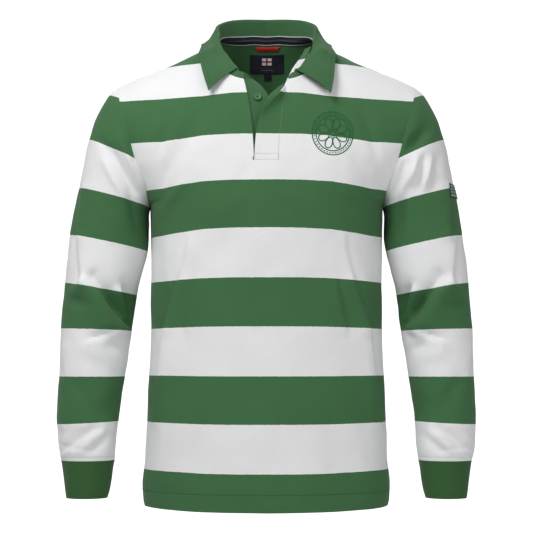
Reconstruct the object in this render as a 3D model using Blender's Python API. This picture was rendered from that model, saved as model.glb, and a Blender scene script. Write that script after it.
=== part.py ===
"""A long-sleeved hooped rugby shirt in heavy cotton jersey, hollow and filled out as if worn.

Metres. +X is the wearer's left, -Y the front and +Z up. The origin is the middle of the neck, level with
the tops of the shoulder seams. Every piece of cloth is a thin wall worked out from section tables.
"""

import math

import bmesh
import bpy
import numpy as np
from mathutils import Matrix, Vector
from mathutils.bvhtree import BVHTree

# Driving dimensions
HEM_Z = -0.727
UNDERARM_Z = -0.248
SHOULDER_X = 0.240
NECK_X = 0.080
WALL = 0.0018
CUFF_WALL = 0.0024
PLACKET_WALL = 0.0015
SEAM_GAP = 0.0003
SECTION_POWER = 2.25

# The body below the arms: half width, and depth in front of and behind the side seams
BODY_COLUMNS = ("z", "half_width", "front", "back")
BODY_ROWS = (
    (-0.727, 0.1962, 0.129, 0.121),
    (-0.700, 0.1985, 0.129, 0.120),
    (-0.655, 0.1940, 0.127, 0.117),
    (-0.595, 0.1922, 0.125, 0.114),
    (-0.530, 0.1898, 0.123, 0.111),
    (-0.465, 0.1866, 0.122, 0.110),
    (-0.380, 0.1860, 0.124, 0.113),
    (-0.310, 0.1868, 0.128, 0.119),
    (-0.248, 0.1885, 0.132, 0.126),
)
# The top of the shoulders, run on over the neck opening, where it only guides the slope of the panels
RIDGE_COLUMNS = ("x", "z")
RIDGE_ROWS = (
    (0.000, 0.0900),
    (0.020, 0.0855),
    (0.040, 0.0680),
    (0.060, 0.0460),
    (0.080, 0.0250),
    (0.100, 0.0125),
    (0.123, 0.0010),
    (0.151, -0.0120),
    (0.183, -0.0253),
    (0.215, -0.0382),
    (0.240, -0.0500),
)
# The armhole seam: how far out it lies, by share of its height
ARMHOLE_COLUMNS = ("rise", "x")
ARMHOLE_ROWS = (
    (0.00, 0.1885),
    (0.11, 0.1912),
    (0.34, 0.2078),
    (0.61, 0.2216),
    (0.80, 0.2326),
    (1.00, 0.2400),
)
ARMHOLE_FRONT = 0.076
ARMHOLE_BACK = 0.070
# The shoulder seam lies in front of the ridge. These are square roots of its drop, as a share of the height.
SEAM_DROP_NECK = 0.195
SEAM_DROP_ARM = 0.080
BACK_NECK_DROP = 0.387
FRONT_NECK_Z = -0.0560
FRONT_NECK_POWER = 2.8
PLACKET_BOTTOM_Z = -0.184
PLACKET_HALF_BOTTOM = 0.0195
PLACKET_HALF_TOP = 0.0355
PLACKET_SPREAD = 1.6

# How finely the pieces are divided
BODY_STEPS = 12
YOKE_STEPS = 12
PLACKET_STEP = 4
NECK_STEPS = 6
SHOULDER_STEPS = 6
CENTRE_STEPS = 3
STRIP_STEPS = 2

# Sleeve rings: outermost and innermost point, depth in front and behind, and how far forward the ring sits
SLEEVE_COLUMNS = ("outer_x", "outer_z", "inner_x", "inner_z", "front", "back", "centre_y")
SLEEVE_ROWS = (
    (0.2400, -0.0500, 0.1885, -0.2480, 0.0760, 0.0700, 0.0000),
    (0.2535, -0.0620, 0.1898, -0.2520, 0.0765, 0.0705, 0.0000),
    (0.2665, -0.0805, 0.1903, -0.2560, 0.0765, 0.0710, 0.0000),
    (0.2785, -0.1040, 0.1905, -0.2610, 0.0760, 0.0710, 0.0000),
    (0.2865, -0.1310, 0.1905, -0.2670, 0.0745, 0.0705, 0.0000),
    (0.2942, -0.1640, 0.1905, -0.2750, 0.0725, 0.0700, 0.0000),
    (0.3018, -0.2010, 0.1906, -0.2860, 0.0700, 0.0690, 0.0000),
    (0.3095, -0.2420, 0.1910, -0.3020, 0.0675, 0.0670, -0.0005),
    (0.3165, -0.2860, 0.1936, -0.3220, 0.0650, 0.0650, -0.0015),
    (0.3225, -0.3360, 0.2000, -0.3480, 0.0625, 0.0620, -0.0030),
    (0.3268, -0.3860, 0.2090, -0.3880, 0.0600, 0.0590, -0.0060),
    (0.3300, -0.4390, 0.2155, -0.4390, 0.0570, 0.0560, -0.0100),
    (0.3312, -0.4910, 0.2232, -0.4910, 0.0545, 0.0530, -0.0150),
    (0.3330, -0.5430, 0.2305, -0.5430, 0.0515, 0.0500, -0.0210),
    (0.3325, -0.5945, 0.2365, -0.5945, 0.0485, 0.0465, -0.0280),
    (0.3298, -0.6310, 0.2385, -0.6300, 0.0460, 0.0440, -0.0330),
    (0.3250, -0.6545, 0.2405, -0.6535, 0.0415, 0.0405, -0.0360),
)
SEAM_RINGS = 4
UPPER_ARM_RINGS = 10
CUFF_ROWS = (
    (0.3250, -0.6545, 0.2405, -0.6535, 0.0415, 0.0405, -0.0360),
    (0.3226, -0.6640, 0.2428, -0.6625, 0.0395, 0.0385, -0.0370),
    (0.3198, -0.6830, 0.2448, -0.6805, 0.0370, 0.0360, -0.0390),
    (0.3178, -0.7000, 0.2475, -0.6960, 0.0350, 0.0340, -0.0405),
    (0.3160, -0.7125, 0.2510, -0.7080, 0.0330, 0.0320, -0.0415),
)
# The collar, by share of the neck seam from the middle of the back to the front edge: the roll line and
# the free edge of the leaf, with a left and a right x. The leaf stops at the fourth row from the end.
COLLAR_COLUMNS = (
    "share",
    "roll_x_right_side",
    "roll_x_left_side",
    "roll_y",
    "roll_z",
    "edge_x_right_side",
    "edge_x_left_side",
    "edge_y",
    "edge_z",
)
COLLAR_ROWS = (
    (0.000, 0.0000, 0.0000, 0.0600, 0.0720, 0.0000, 0.0000, 0.0860, 0.0300),
    (0.140, 0.0405, 0.0405, 0.0510, 0.0705, 0.0520, 0.0520, 0.0720, 0.0265),
    (0.300, 0.0685, 0.0685, 0.0270, 0.0635, 0.0870, 0.0870, 0.0420, 0.0165),
    (0.390, 0.0787, 0.0787, 0.0040, 0.0530, 0.1000, 0.1005, 0.0120, 0.0175),
    (0.500, 0.0768, 0.0770, -0.0160, 0.0370, 0.1055, 0.1062, -0.0190, 0.0130),
    (0.626, 0.0725, 0.0738, -0.0400, 0.0150, 0.1062, 0.1090, -0.0520, -0.0070),
    (0.698, 0.0660, 0.0690, -0.0580, -0.0020, 0.1050, 0.1085, -0.0665, -0.0200),
    (0.751, 0.0580, 0.0625, -0.0730, -0.0160, 0.1020, 0.1075, -0.0815, -0.0335),
    (0.800, 0.0505, 0.0565, -0.0860, -0.0277, 0.0975, 0.1055, -0.0975, -0.0510),
    (0.847, 0.0430, 0.0503, -0.0950, -0.0368, 0.0898, 0.1012, -0.1110, -0.0745),
    (0.894, 0.0352, 0.0410, -0.0985, -0.0400, 0.0898, 0.1012, -0.1110, -0.0745),
    (0.950, 0.0280, 0.0372, -0.0895, -0.0430, 0.0898, 0.1012, -0.1110, -0.0745),
    (1.000, 0.0210, 0.0338, -0.0790, -0.0455, 0.0898, 0.1012, -0.1110, -0.0745),
)
COLLAR_WALL = 0.0018
COLLAR_ROLL_RADIUS = 0.0020
COLLAR_BULGE = 0.004
COLLAR_CLEAR = 0.0030
COLLAR_LEAF_STEPS = 5
COLLAR_STAND_STEPS = 3
COLLAR_ROLL_STEPS = 3

# The placket's free edges, by share of its height from the bottom: how far across and how far back
STRIP_COLUMNS = ("share", "under_x", "under_back", "flap_x", "flap_back", "facing_x", "facing_back")
STRIP_ROWS = (
    (0.00, 0.0165, 0.0000, -0.0180, 0.0000, -0.0060, 0.0000),
    (0.16, 0.0160, 0.0000, -0.0178, 0.0000, -0.0075, 0.0000),
    (0.36, 0.0145, 0.0000, -0.0145, -0.0010, -0.0100, 0.0000),
    (0.48, 0.0130, 0.0000, -0.0112, -0.0025, -0.0112, -0.0002),
    (0.58, 0.0105, 0.0005, -0.0040, -0.0040, -0.0078, -0.0006),
    (0.71, 0.0050, 0.0020, 0.0095, -0.0050, 0.0003, 0.0000),
    (0.80, -0.0004, 0.0060, 0.0218, -0.0030, 0.0093, 0.0030),
    (0.90, -0.0090, 0.0140, 0.0282, 0.0070, 0.0205, 0.0120),
    (1.00, -0.0208, 0.0265, 0.0328, 0.0215, 0.0304, 0.0245),
)
# The facing above the placket, where it runs on inside the neck: its free edge and its sewn edge
INNER_FACING_COLUMNS = ("free_x", "free_y", "free_z", "sewn_x", "sewn_y", "sewn_z")
INNER_FACING_ROWS = (
    (0.0405, -0.0600, -0.0300, 0.0532, -0.0830, -0.0330),
    (0.0503, -0.0450, -0.0135, 0.0610, -0.0660, -0.0150),
    (0.0580, -0.0300, 0.0010, 0.0680, -0.0460, 0.0020),
    (0.0622, -0.0200, 0.0108, 0.0722, -0.0300, 0.0130),
)
# A strip leaves its seam within 1 / STRIP_FALL of its width. Its inner points lie closer to the seam the
# higher the power is. Its free edge rises by STRIP_RISE at the top.
STRIP_FALL = 11
STRIP_RISE = 0.0045
UNDER_POWER = 2.2
FLAP_POWER = 1.4
FLAP_LIFT = 0.0024
UNDER_SINK = 0.0040
FACING_SINK = 0.0019
FACING_INSET = 0.0040
FACING_TOP_SHIFT = 0.0085
FACING_TOP_BACK = 0.0115
FACING_TURN = 0.25
FACING_RISE = 0.0006

# Large soft folds: the line of each in x and z, its half width, and its height (below 0 a trough). They die
# out within FOLD_EDGE of the side seams and from FOLD_TOP_Z down over FOLD_TOP_RUN.
FOLD_EDGE = 0.03
FOLD_TOP_Z = -0.05
FOLD_TOP_RUN = 0.06
FOLD_COLUMNS = ("x1", "z1", "x2", "z2", "width", "height")
FRONT_FOLDS = (
    (-0.178, -0.232, -0.120, -0.135, 0.016, -0.0040),
    (0.180, -0.230, 0.128, -0.150, 0.017, -0.0038),
    (-0.142, -0.380, -0.176, -0.570, 0.020, 0.0034),
    (0.150, -0.370, 0.172, -0.560, 0.022, 0.0036),
    (-0.105, -0.600, -0.150, -0.720, 0.022, -0.0030),
    (0.095, -0.610, 0.148, -0.715, 0.024, -0.0032),
    (-0.030, -0.250, -0.085, -0.360, 0.024, -0.0022),
    (0.045, -0.240, 0.100, -0.345, 0.026, -0.0024),
)
BACK_FOLDS = (
    (-0.176, -0.236, -0.110, -0.140, 0.018, -0.0042),
    (0.178, -0.232, 0.122, -0.128, 0.017, -0.0040),
    (-0.120, -0.330, -0.165, -0.520, 0.023, 0.0036),
    (0.100, -0.345, 0.160, -0.540, 0.024, 0.0038),
    (0.030, -0.380, -0.080, -0.470, 0.025, -0.0034),
    (-0.060, -0.520, 0.060, -0.560, 0.025, -0.0030),
    (0.070, -0.600, 0.130, -0.720, 0.024, -0.0030),
    (-0.090, -0.590, -0.120, -0.715, 0.024, -0.0034),
)
# Folds round a sleeve: share of its length and angle round it (0 inside, 0.5 outside, up to 0.5 in front
# and on to 1 behind) at both ends, half width and height
SLEEVE_FOLD_COLUMNS = ("share1", "turn1", "share2", "turn2", "width", "height")
SLEEVE_FOLDS = (
    (0.30, 0.02, 0.42, 0.28, 0.016, -0.0036),
    (0.38, 0.00, 0.52, 0.22, 0.014, -0.0030),
    (0.56, 0.04, 0.50, 0.34, 0.016, -0.0046),
    (0.62, 0.02, 0.66, 0.30, 0.015, 0.0030),
    (0.84, 0.10, 0.90, 0.42, 0.014, -0.0030),
    (0.93, 0.05, 0.91, 0.30, 0.010, -0.0024),
    (0.36, 0.96, 0.44, 0.72, 0.016, -0.0034),
    (0.57, 0.97, 0.60, 0.68, 0.017, -0.0042),
    (0.70, 0.90, 0.76, 0.62, 0.016, 0.0030),
    (0.92, 0.92, 0.90, 0.66, 0.011, -0.0024),
)
SLEEVE_RUN = 0.62
SLEEVE_ROUND = 0.36
SLEEVE_FOLD_FADE_TOP = 0.18
SLEEVE_FOLD_FADE_WRIST = 0.05

# Trim
TAPE_HALF = 0.0070
TAPE_THICK = 0.0008
TAPE_CROWN = 1.3
TRIM_GAP = 0.0004
LOOP_BOX = (-0.0215, 0.0205, 0.0212, 0.0288)
LOOP_TAPER = 0.22
LABEL_BOX = (-0.0280, 0.0292, -0.0145, 0.0150)
TAB_BOX = (-0.0040, 0.0078, -0.0248, -0.0149)
LABEL_THICK = 0.0008
BADGE_Z = -0.2185
BADGE_HALF_HEIGHT = 0.0125
BADGE_FROM = 138
BADGE_TO = 172
BADGE_THICK = 0.0009
BADGE_CENTRE_X = 0.245
BADGE_RISE = 0.16
BADGE_ROWS = 3
BADGE_STEPS = 5
BUTTON_X = -0.0140
BUTTON_Z = -0.0808
BUTTON_RADIUS = 0.0062
BUTTON_THICK = 0.0026
BUTTON_HOLE = 0.0009
BUTTON_HOLE_OUT = 0.00144
BUTTON_HOLES = 4
BUTTON_SIDES = 28
# The button's outline, as shares of its radius and its thickness
BUTTON_PROFILE = (
    (0.00, 0.00),
    (0.80, 0.00),
    (1.00, 0.45),
    (1.00, 0.80),
    (0.90, 1.00),
    (0.72, 0.72),
    (0.00, 0.66),
)

# Colours of the real cloth, linear
GREEN = (0.073, 0.157, 0.078)
DARK_GREEN = (0.045, 0.105, 0.050)
WHITE = (0.72, 0.72, 0.73)
NAVY = (0.010, 0.012, 0.022)
RED = (0.50, 0.020, 0.018)
GREY = (0.30, 0.32, 0.30)


def column(rows, columns, name):
    return np.array([row[columns.index(name)] for row in rows])


def smooth_read(stations, values, at):
    """Reads a smooth curve through the stations."""
    slopes = np.gradient(values, stations)
    at = np.clip(at, stations[0], stations[-1])
    index = np.clip(np.searchsorted(stations, at, side="right") - 1, 0, len(stations) - 2)
    step = stations[index + 1] - stations[index]
    t = (at - stations[index]) / step
    start = (1 + 2 * t) * (1 - t) ** 2 * values[index] + t * (1 - t) ** 2 * step * slopes[index]
    end = t * t * (3 - 2 * t) * values[index + 1] + t * t * (t - 1) * step * slopes[index + 1]
    return start + end


def body(name, z):
    return smooth_read(column(BODY_ROWS, BODY_COLUMNS, "z"), column(BODY_ROWS, BODY_COLUMNS, name), z)


def ridge(x):
    stations = column(RIDGE_ROWS, RIDGE_COLUMNS, "x")
    return smooth_read(stations, column(RIDGE_ROWS, RIDGE_COLUMNS, "z"), abs(x))


def armhole_x(rise):
    stations = column(ARMHOLE_ROWS, ARMHOLE_COLUMNS, "rise")
    return smooth_read(stations, column(ARMHOLE_ROWS, ARMHOLE_COLUMNS, "x"), rise)


def blend(a, b, t):
    return a + (b - a) * t


def yoke_depth(x, drop, centre_depth, arm_depth):
    rise = 1 - drop * drop
    middle = centre_depth * math.sqrt(max(1 - rise * rise, 0))
    ratio = 2 * arm_depth / centre_depth * math.sqrt(rise / (1 + rise))
    cut = 1 - ratio**SECTION_POWER
    share = min(abs(x) / armhole_x(rise), 1)
    return middle * (1 - cut * share**SECTION_POWER) ** (1 / SECTION_POWER)


def front_or_back(x, drop, forward):
    """A place above the underarm. drop falls from 1 there to 0 on the ridge, and below 0 past it, on the
    other face. Its square is how far below the ridge the place lies, as a share of the height."""
    z = UNDERARM_Z + (1 - drop * drop) * (ridge(x) - UNDERARM_Z)
    if forward == (drop >= 0):
        y = -yoke_depth(x, drop, body("front", UNDERARM_Z), ARMHOLE_FRONT)
    else:
        y = yoke_depth(x, drop, body("back", UNDERARM_Z), ARMHOLE_BACK)
    return Vector((x, y, z))


def neck_angle(step):
    """The angle round the neck opening of a neck column, from the placket's edge to the side."""
    first = math.asin(PLACKET_HALF_TOP / NECK_X)
    return blend(first, math.pi / 2, step / NECK_STEPS)


def top_of_front(step):
    """x and drop where column step ends, at the neck seam or the shoulder seam."""
    if step >= NECK_STEPS:
        share = (step - NECK_STEPS) / SHOULDER_STEPS
        return blend(NECK_X, SHOULDER_X, share), blend(SEAM_DROP_NECK, SEAM_DROP_ARM, share)
    x = NECK_X * math.sin(neck_angle(step))
    side_z = UNDERARM_Z + (1 - SEAM_DROP_NECK**2) * (ridge(NECK_X) - UNDERARM_Z)
    fall = (1 - (x / NECK_X) ** FRONT_NECK_POWER) ** (1 / FRONT_NECK_POWER)
    z = side_z - (side_z - FRONT_NECK_Z) * fall
    rise = (z - UNDERARM_Z) / (ridge(x) - UNDERARM_Z)
    return x, math.sqrt(1 - rise)


def top_of_back(step):
    """x and drop where back column step ends. Its shoulder columns pass the ridge to the front."""
    if step >= NECK_STEPS:
        x, drop = top_of_front(step)
        return x, -drop
    angle = math.pi / 2 * step / NECK_STEPS
    drop = BACK_NECK_DROP - (BACK_NECK_DROP + SEAM_DROP_NECK) * (1 - math.cos(angle))
    return NECK_X * math.sin(angle), drop


def drops_up(step, steps, last_drop, row_share):
    """The drop at a share of the way up a column. Middle columns are even by arc, the armhole by angle."""
    arm_angle = 2 * math.acos(last_drop) * row_share
    rise = 1 - last_drop * last_drop
    middle = math.asin(rise)
    if last_drop < 0:
        middle = math.pi - middle
    middle *= row_share
    middle_drop = math.cos(middle / 2) - math.sin(middle / 2)
    towards_arm = (step / steps) ** 1.5
    return blend(middle_drop, math.cos(arm_angle / 2), towards_arm)


def placket_half(share):
    """Half the width of the placket's opening, by share of its height."""
    return blend(PLACKET_HALF_BOTTOM, PLACKET_HALF_TOP, min(max(share, 0), 1) ** PLACKET_SPREAD)


def placket_row_share(row):
    """Share of the way up the yoke for a row beside the placket, which has a row level with its bottom."""
    _, drop = top_of_front(0)
    full = math.asin(1 - drop * drop)
    bottom_rise = (PLACKET_BOTTOM_Z - UNDERARM_Z) / (ridge(PLACKET_HALF_BOTTOM) - UNDERARM_Z)
    bottom = math.asin(bottom_rise) / full
    if row <= PLACKET_STEP:
        return bottom * row / PLACKET_STEP
    return blend(bottom, 1, (row - PLACKET_STEP) / (YOKE_STEPS - PLACKET_STEP))


def level_x(step, steps, z, inner_x):
    """Columns spread evenly round the section at a level below the arms."""
    half = body("half_width", z)
    first = math.asin((inner_x / half) ** (SECTION_POWER / 2))
    angle = blend(first, math.pi / 2, step / steps)
    return half * math.sin(angle) ** (2 / SECTION_POWER)


def level_point(x, z, forward):
    half = body("half_width", z)
    share = min(abs(x) / half, 1)
    depth = body("front" if forward else "back", z)
    y = depth * (1 - share**SECTION_POWER) ** (1 / SECTION_POWER)
    return Vector((x, -y if forward else y, z))


def body_levels():
    return [blend(HEM_Z, UNDERARM_Z, i / BODY_STEPS) for i in range(BODY_STEPS + 1)]


def side_column(step, forward):
    """Points of one column from the hem to its top, for x above 0."""
    steps = NECK_STEPS + SHOULDER_STEPS
    inner_x = PLACKET_HALF_BOTTOM if forward else 0.0
    points = [level_point(level_x(step, steps, z, inner_x), z, forward) for z in body_levels()]
    top_x, last_drop = top_of_front(step) if forward else top_of_back(step)
    half = body("half_width", UNDERARM_Z)
    low_share = (level_x(step, steps, UNDERARM_Z, inner_x) - inner_x) / (half - inner_x)
    top_inner = PLACKET_HALF_TOP if forward else 0.0
    top_share = (top_x - top_inner) / (SHOULDER_X - top_inner)
    for row in range(1, YOKE_STEPS + 1):
        row_share = row / YOKE_STEPS
        edge = 0.0
        if forward:
            near = max(0, 1 - step / 3)
            row_share = blend(row_share, placket_row_share(row), near)
            edge = placket_half((row - PLACKET_STEP) / (YOKE_STEPS - PLACKET_STEP))
        drop = drops_up(step, steps, last_drop, row_share)
        ease = row / YOKE_STEPS
        across = blend(low_share, top_share, ease * ease * (3 - 2 * ease))
        x = top_x if row == YOKE_STEPS else blend(edge, armhole_x(1 - drop * drop), across)
        points.append(front_or_back(x, drop, forward))
    return points


def mirrored(points):
    return [Vector((-p.x, p.y, p.z)) for p in points]


def front_grid():
    """Columns from the wearer's right armhole to the left one. The placket's hole is masked out."""
    steps = NECK_STEPS + SHOULDER_STEPS
    right = [side_column(step, True) for step in range(steps + 1)]
    edge = right[0]
    middle = []
    for i in range(1, CENTRE_STEPS):
        share = blend(-1, 1, i / CENTRE_STEPS)
        line = []
        for row, point in enumerate(edge):
            x = share * PLACKET_HALF_BOTTOM
            if row <= BODY_STEPS:
                line.append(level_point(x, point.z, True))
            else:
                rise = (point.z - UNDERARM_Z) / (ridge(point.x) - UNDERARM_Z)
                line.append(front_or_back(x, math.sqrt(1 - rise), True))
                line[-1].z = point.z
        middle.append(line)
    columns = [mirrored(c) for c in reversed(right)] + middle + right
    grid = np.array([[tuple(p) for p in c] for c in columns]).transpose(1, 0, 2)
    faces = np.ones((grid.shape[0] - 1, grid.shape[1] - 1), bool)
    faces[BODY_STEPS + PLACKET_STEP :, steps : steps + CENTRE_STEPS] = False
    return grid, faces


def back_grid():
    steps = NECK_STEPS + SHOULDER_STEPS
    left = [side_column(step, False) for step in range(steps + 1)]
    columns = [mirrored(c) for c in reversed(left[1:])] + left
    grid = np.array([[tuple(p) for p in c] for c in columns]).transpose(1, 0, 2)
    return grid, np.ones((grid.shape[0] - 1, grid.shape[1] - 1), bool)


def fold_offset(folds, x, z):
    """The height of the folds at a place, each a soft ridge or trough along its own line."""
    total = 0.0
    for x1, z1, x2, z2, width, height in folds:
        length2 = (x2 - x1) ** 2 + (z2 - z1) ** 2
        along = ((x - x1) * (x2 - x1) + (z - z1) * (z2 - z1)) / length2
        near = min(max(along, 0), 1)
        away = math.hypot(x - blend(x1, x2, near), z - blend(z1, z2, near))
        ends = math.sin(math.pi * (0.15 + 0.7 * near))
        total += height * ends * math.exp(-((away / width) ** 2))
    return total


def folded(grid, folds):
    """The grid moved along y by the folds, which die out towards the side seams and armholes."""
    out = grid.copy()
    for row in range(grid.shape[0]):
        outer = abs(grid[row, -1, 0])
        for col in range(grid.shape[1]):
            x, y, z = grid[row, col]
            fade = min(max((outer - abs(x)) / FOLD_EDGE, 0), 1)
            top = min(max((FOLD_TOP_Z - z) / FOLD_TOP_RUN, 0), 1)
            move = fold_offset(folds, x, z) * fade * top
            out[row, col, 1] += move * (1 if y > 0 else -1)
    return out


def sleeve_fold(share, turn):
    """The height of the sleeve's folds at a share of its length and a turn round it."""
    size = np.array((SLEEVE_RUN, SLEEVE_ROUND))
    place = np.array((share, turn)) * size
    total = 0.0
    for share1, turn1, share2, turn2, width, height in SLEEVE_FOLDS:
        start = np.array((share1, turn1)) * size
        line = np.array((share2, turn2)) * size - start
        near = min(max(np.dot(place - start, line) / np.dot(line, line), 0), 1)
        away = np.linalg.norm(place - start - line * near)
        total += height * math.exp(-((away / width) ** 2))
    top = min(max(share / SLEEVE_FOLD_FADE_TOP, 0), 1)
    wrist = min(max((1 - share) / SLEEVE_FOLD_FADE_WRIST, 0), 1)
    return total * top * wrist


def armhole_loop():
    """Angles round the left armhole, from the underarm up the front, over and down the back."""
    _, front_drop = top_of_front(NECK_STEPS + SHOULDER_STEPS)
    top = 2 * math.acos(front_drop)
    front = [top * i / YOKE_STEPS for i in range(YOKE_STEPS + 1)]
    over = 2 * math.pi - top
    back = [2 * math.pi - over * i / YOKE_STEPS for i in range(YOKE_STEPS - 1, 0, -1)]
    return front + back


def ring_point(row, angle):
    """A point of a ring. Angle 0 is inside, a half turn outside, the first half in front."""
    outer_x, outer_z, inner_x, inner_z, front, back, centre_y = row
    up = (1 - math.cos(angle)) / 2
    side = math.sin(angle)
    depth = front if side > 0 else back
    return Vector((blend(inner_x, outer_x, up), centre_y - depth * side, blend(inner_z, outer_z, up)))


def sleeve_grid(armhole):
    """Rings from the armhole to the wrist. The first is the armhole seam itself, which the next ones leave
    bit by bit. Folds stay small on the inside of the upper arm, where the body is close."""
    angles = armhole_loop()
    rows = []
    last = len(SLEEVE_ROWS) - 1
    for i, row in enumerate(SLEEVE_ROWS):
        share = i / last
        line = []
        fade = max(0, 1 - i / SEAM_RINGS)
        for angle, seam in zip(angles, armhole):
            point = ring_point(row, angle)
            point += (Vector(seam) - ring_point(SLEEVE_ROWS[0], angle)) * fade * fade
            line.append(point)
        rows.append(line)
    grid = np.array([[tuple(p) for p in line] for line in rows])
    middle = grid.mean(axis=1)
    for i in range(1, last):
        for j, angle in enumerate(angles):
            out = grid[i, j] - middle[i]
            turn = angle / (2 * math.pi)
            inside = 0.3 if math.cos(angle) > 0.8 and i < UPPER_ARM_RINGS else 1
            grid[i, j] += out / np.linalg.norm(out) * sleeve_fold(i / last, turn) * inside
    return grid


def cuff_grid():
    return np.array([[tuple(ring_point(row, a)) for a in armhole_loop()] for row in CUFF_ROWS])


def quads(grid, faces=None, ring=False):
    """The corner indices of each face of a grid."""
    rows, cols = grid.shape[:2]
    found = []
    for i in range(rows - 1):
        for j in range(cols if ring else cols - 1):
            if faces is not None and not faces[i, j]:
                continue
            k = (j + 1) % cols
            found.append((i * cols + j, i * cols + k, (i + 1) * cols + k, (i + 1) * cols + j))
    return found


class Cloth:
    """A grid of points that becomes one wall of cloth."""

    def __init__(self, grid, wall, faces=None, ring=False, flip=False):
        self.across = grid.shape[1]
        self.points = grid.reshape(-1, 3).copy()
        self.faces = quads(grid, faces, ring)
        if flip:
            self.faces = [face[::-1] for face in self.faces]
        self.wall = wall
        self.used = sorted({i for face in self.faces for i in face})

    def face_normals(self):
        corners = self.points[np.array(self.faces)]
        crossed = np.cross(corners[:, 2] - corners[:, 0], corners[:, 3] - corners[:, 1])
        return crossed / np.maximum(np.linalg.norm(crossed, axis=1, keepdims=True), 1e-12)


def place_key(point):
    return tuple(np.round(point * 1e5).astype(int))


def shared_normals(cloths, hints):
    """The mean direction at each place, over all the cloths that meet there."""
    total = {}
    for cloth in cloths:
        for face, normal in zip(cloth.faces, cloth.face_normals()):
            for i in face:
                key = place_key(cloth.points[i])
                total[key] = total.get(key, np.zeros(3)) + normal
    for point, direction in hints:
        key = place_key(np.array(point))
        if key in total:
            total[key] = total[key] + 3 * np.array(direction)
    return {key: value / max(np.linalg.norm(value), 1e-9) for key, value in total.items()}


def open_edges(faces):
    seen = {}
    for face in faces:
        for a, b in zip(face, face[1:] + face[:1]):
            seen[(a, b)] = True
    return [edge for edge in seen if (edge[1], edge[0]) not in seen]


def seam_gaps(cloth, normals, edges):
    """How far each edge point moves into its own panel, a little over half the gap, so that seams stay open."""
    moves = {}
    centres = {}
    for face in cloth.faces:
        middle = cloth.points[list(face)].mean(axis=0)
        for i in face:
            centres.setdefault(i, []).append(middle)
    tangents = {}
    for a, b in edges:
        along = cloth.points[b] - cloth.points[a]
        along = along / np.linalg.norm(along)
        tangents.setdefault(a, []).append(along)
        tangents.setdefault(b, []).append(along)
    for i, around in tangents.items():
        inward = np.zeros(3)
        target = np.mean(centres[i], axis=0) - cloth.points[i]
        normal = normals[place_key(cloth.points[i])]
        for along in around:
            side = np.cross(normal, along)
            side = side / max(np.linalg.norm(side), 1e-9)
            if np.dot(side, target) < 0:
                side = -side
            inward += side
        length = np.linalg.norm(inward)
        if length > 1e-6:
            corner = max(length / len(around), 0.5)
            moves[i] = inward / length * (SEAM_GAP * 0.55) / corner
    return moves


def material(name, colour, roughness):
    made = bpy.data.materials.new(name)
    made.use_nodes = True
    shader = made.node_tree.nodes["Principled BSDF"]
    shader.inputs["Base Color"].default_value = (*colour, 1)
    shader.inputs["Roughness"].default_value = roughness
    shader.inputs["Metallic"].default_value = 0
    return made


def add_object(name, points, faces, colour):
    mesh = bpy.data.meshes.new(name)
    mesh.from_pydata([tuple(p) for p in points], [], faces)
    mesh.validate()
    bm = bmesh.new()
    bm.from_mesh(mesh)
    bmesh.ops.triangulate(bm, faces=bm.faces, quad_method="SHORT_EDGE")
    bm.to_mesh(mesh)
    bm.free()
    mesh.shade_smooth()
    mesh.set_sharp_from_angle(angle=math.radians(40))
    mesh.materials.append(material(name + "_cloth", colour, 0.9))
    made = bpy.data.objects.new(name, mesh)
    bpy.context.scene.collection.objects.link(made)
    return made


def make_wall(name, cloth, normals, colour):
    """Builds the closed wall: an outer face, an inner face a wall's thickness in, and rims round its edges."""
    edges = open_edges(cloth.faces)
    moves = seam_gaps(cloth, normals, edges)
    order = {old: new for new, old in enumerate(cloth.used)}
    outer = []
    inner = []
    for i in cloth.used:
        normal = normals[place_key(cloth.points[i])]
        point = cloth.points[i] + moves.get(i, 0)
        outer.append(point)
        inner.append(point - normal * cloth.wall)
    count = len(outer)
    faces = [tuple(order[i] for i in face) for face in cloth.faces]
    faces += [tuple(order[i] + count for i in reversed(face)) for face in cloth.faces]
    faces += [(order[b], order[a], order[a] + count, order[b] + count) for a, b in edges]
    add_object(name, outer + inner, faces, colour)
    return np.array(outer), np.array(inner), order


def collar_read(name, share):
    stations = column(COLLAR_ROWS, COLLAR_COLUMNS, "share")
    return smooth_read(stations, column(COLLAR_ROWS, COLLAR_COLUMNS, name), share)


def collar_line(line, share, left_side):
    """A point of the roll line or of the leaf's edge."""
    x = collar_read(line + ("_x_left_side" if left_side else "_x_right_side"), share)
    return Vector((x if left_side else -x, collar_read(line + "_y", share), collar_read(line + "_z", share)))


def collar_section(base, share, left_side):
    """Points from the neck seam up the stand, over the roll and down the leaf, on its under side."""
    roll = collar_line("roll", share, left_side)
    edge = collar_line("edge", share, left_side)
    up = (roll - base).normalized()
    out = edge - roll
    out = (out - up * out.dot(up)).normalized()
    top = roll - up * COLLAR_ROLL_RADIUS
    points = [blend(base, top, i / COLLAR_STAND_STEPS) for i in range(COLLAR_STAND_STEPS + 1)]
    centre = top + out * COLLAR_ROLL_RADIUS
    for i in range(1, COLLAR_ROLL_STEPS + 1):
        angle = math.pi * i / COLLAR_ROLL_STEPS
        points.append(centre + (up * math.sin(angle) - out * math.cos(angle)) * COLLAR_ROLL_RADIUS)
    start = points[-1]
    bulge = (out + Vector((0, 0, 1)) * 0.4).normalized()
    for i in range(1, COLLAR_LEAF_STEPS + 1):
        t = i / COLLAR_LEAF_STEPS
        points.append(blend(start, edge, t) + bulge * COLLAR_BULGE * math.sin(math.pi * t))
    return points


def strip_read(name, share):
    stations = column(STRIP_ROWS, STRIP_COLUMNS, "share")
    return smooth_read(stations, column(STRIP_ROWS, STRIP_COLUMNS, name), share)


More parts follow.
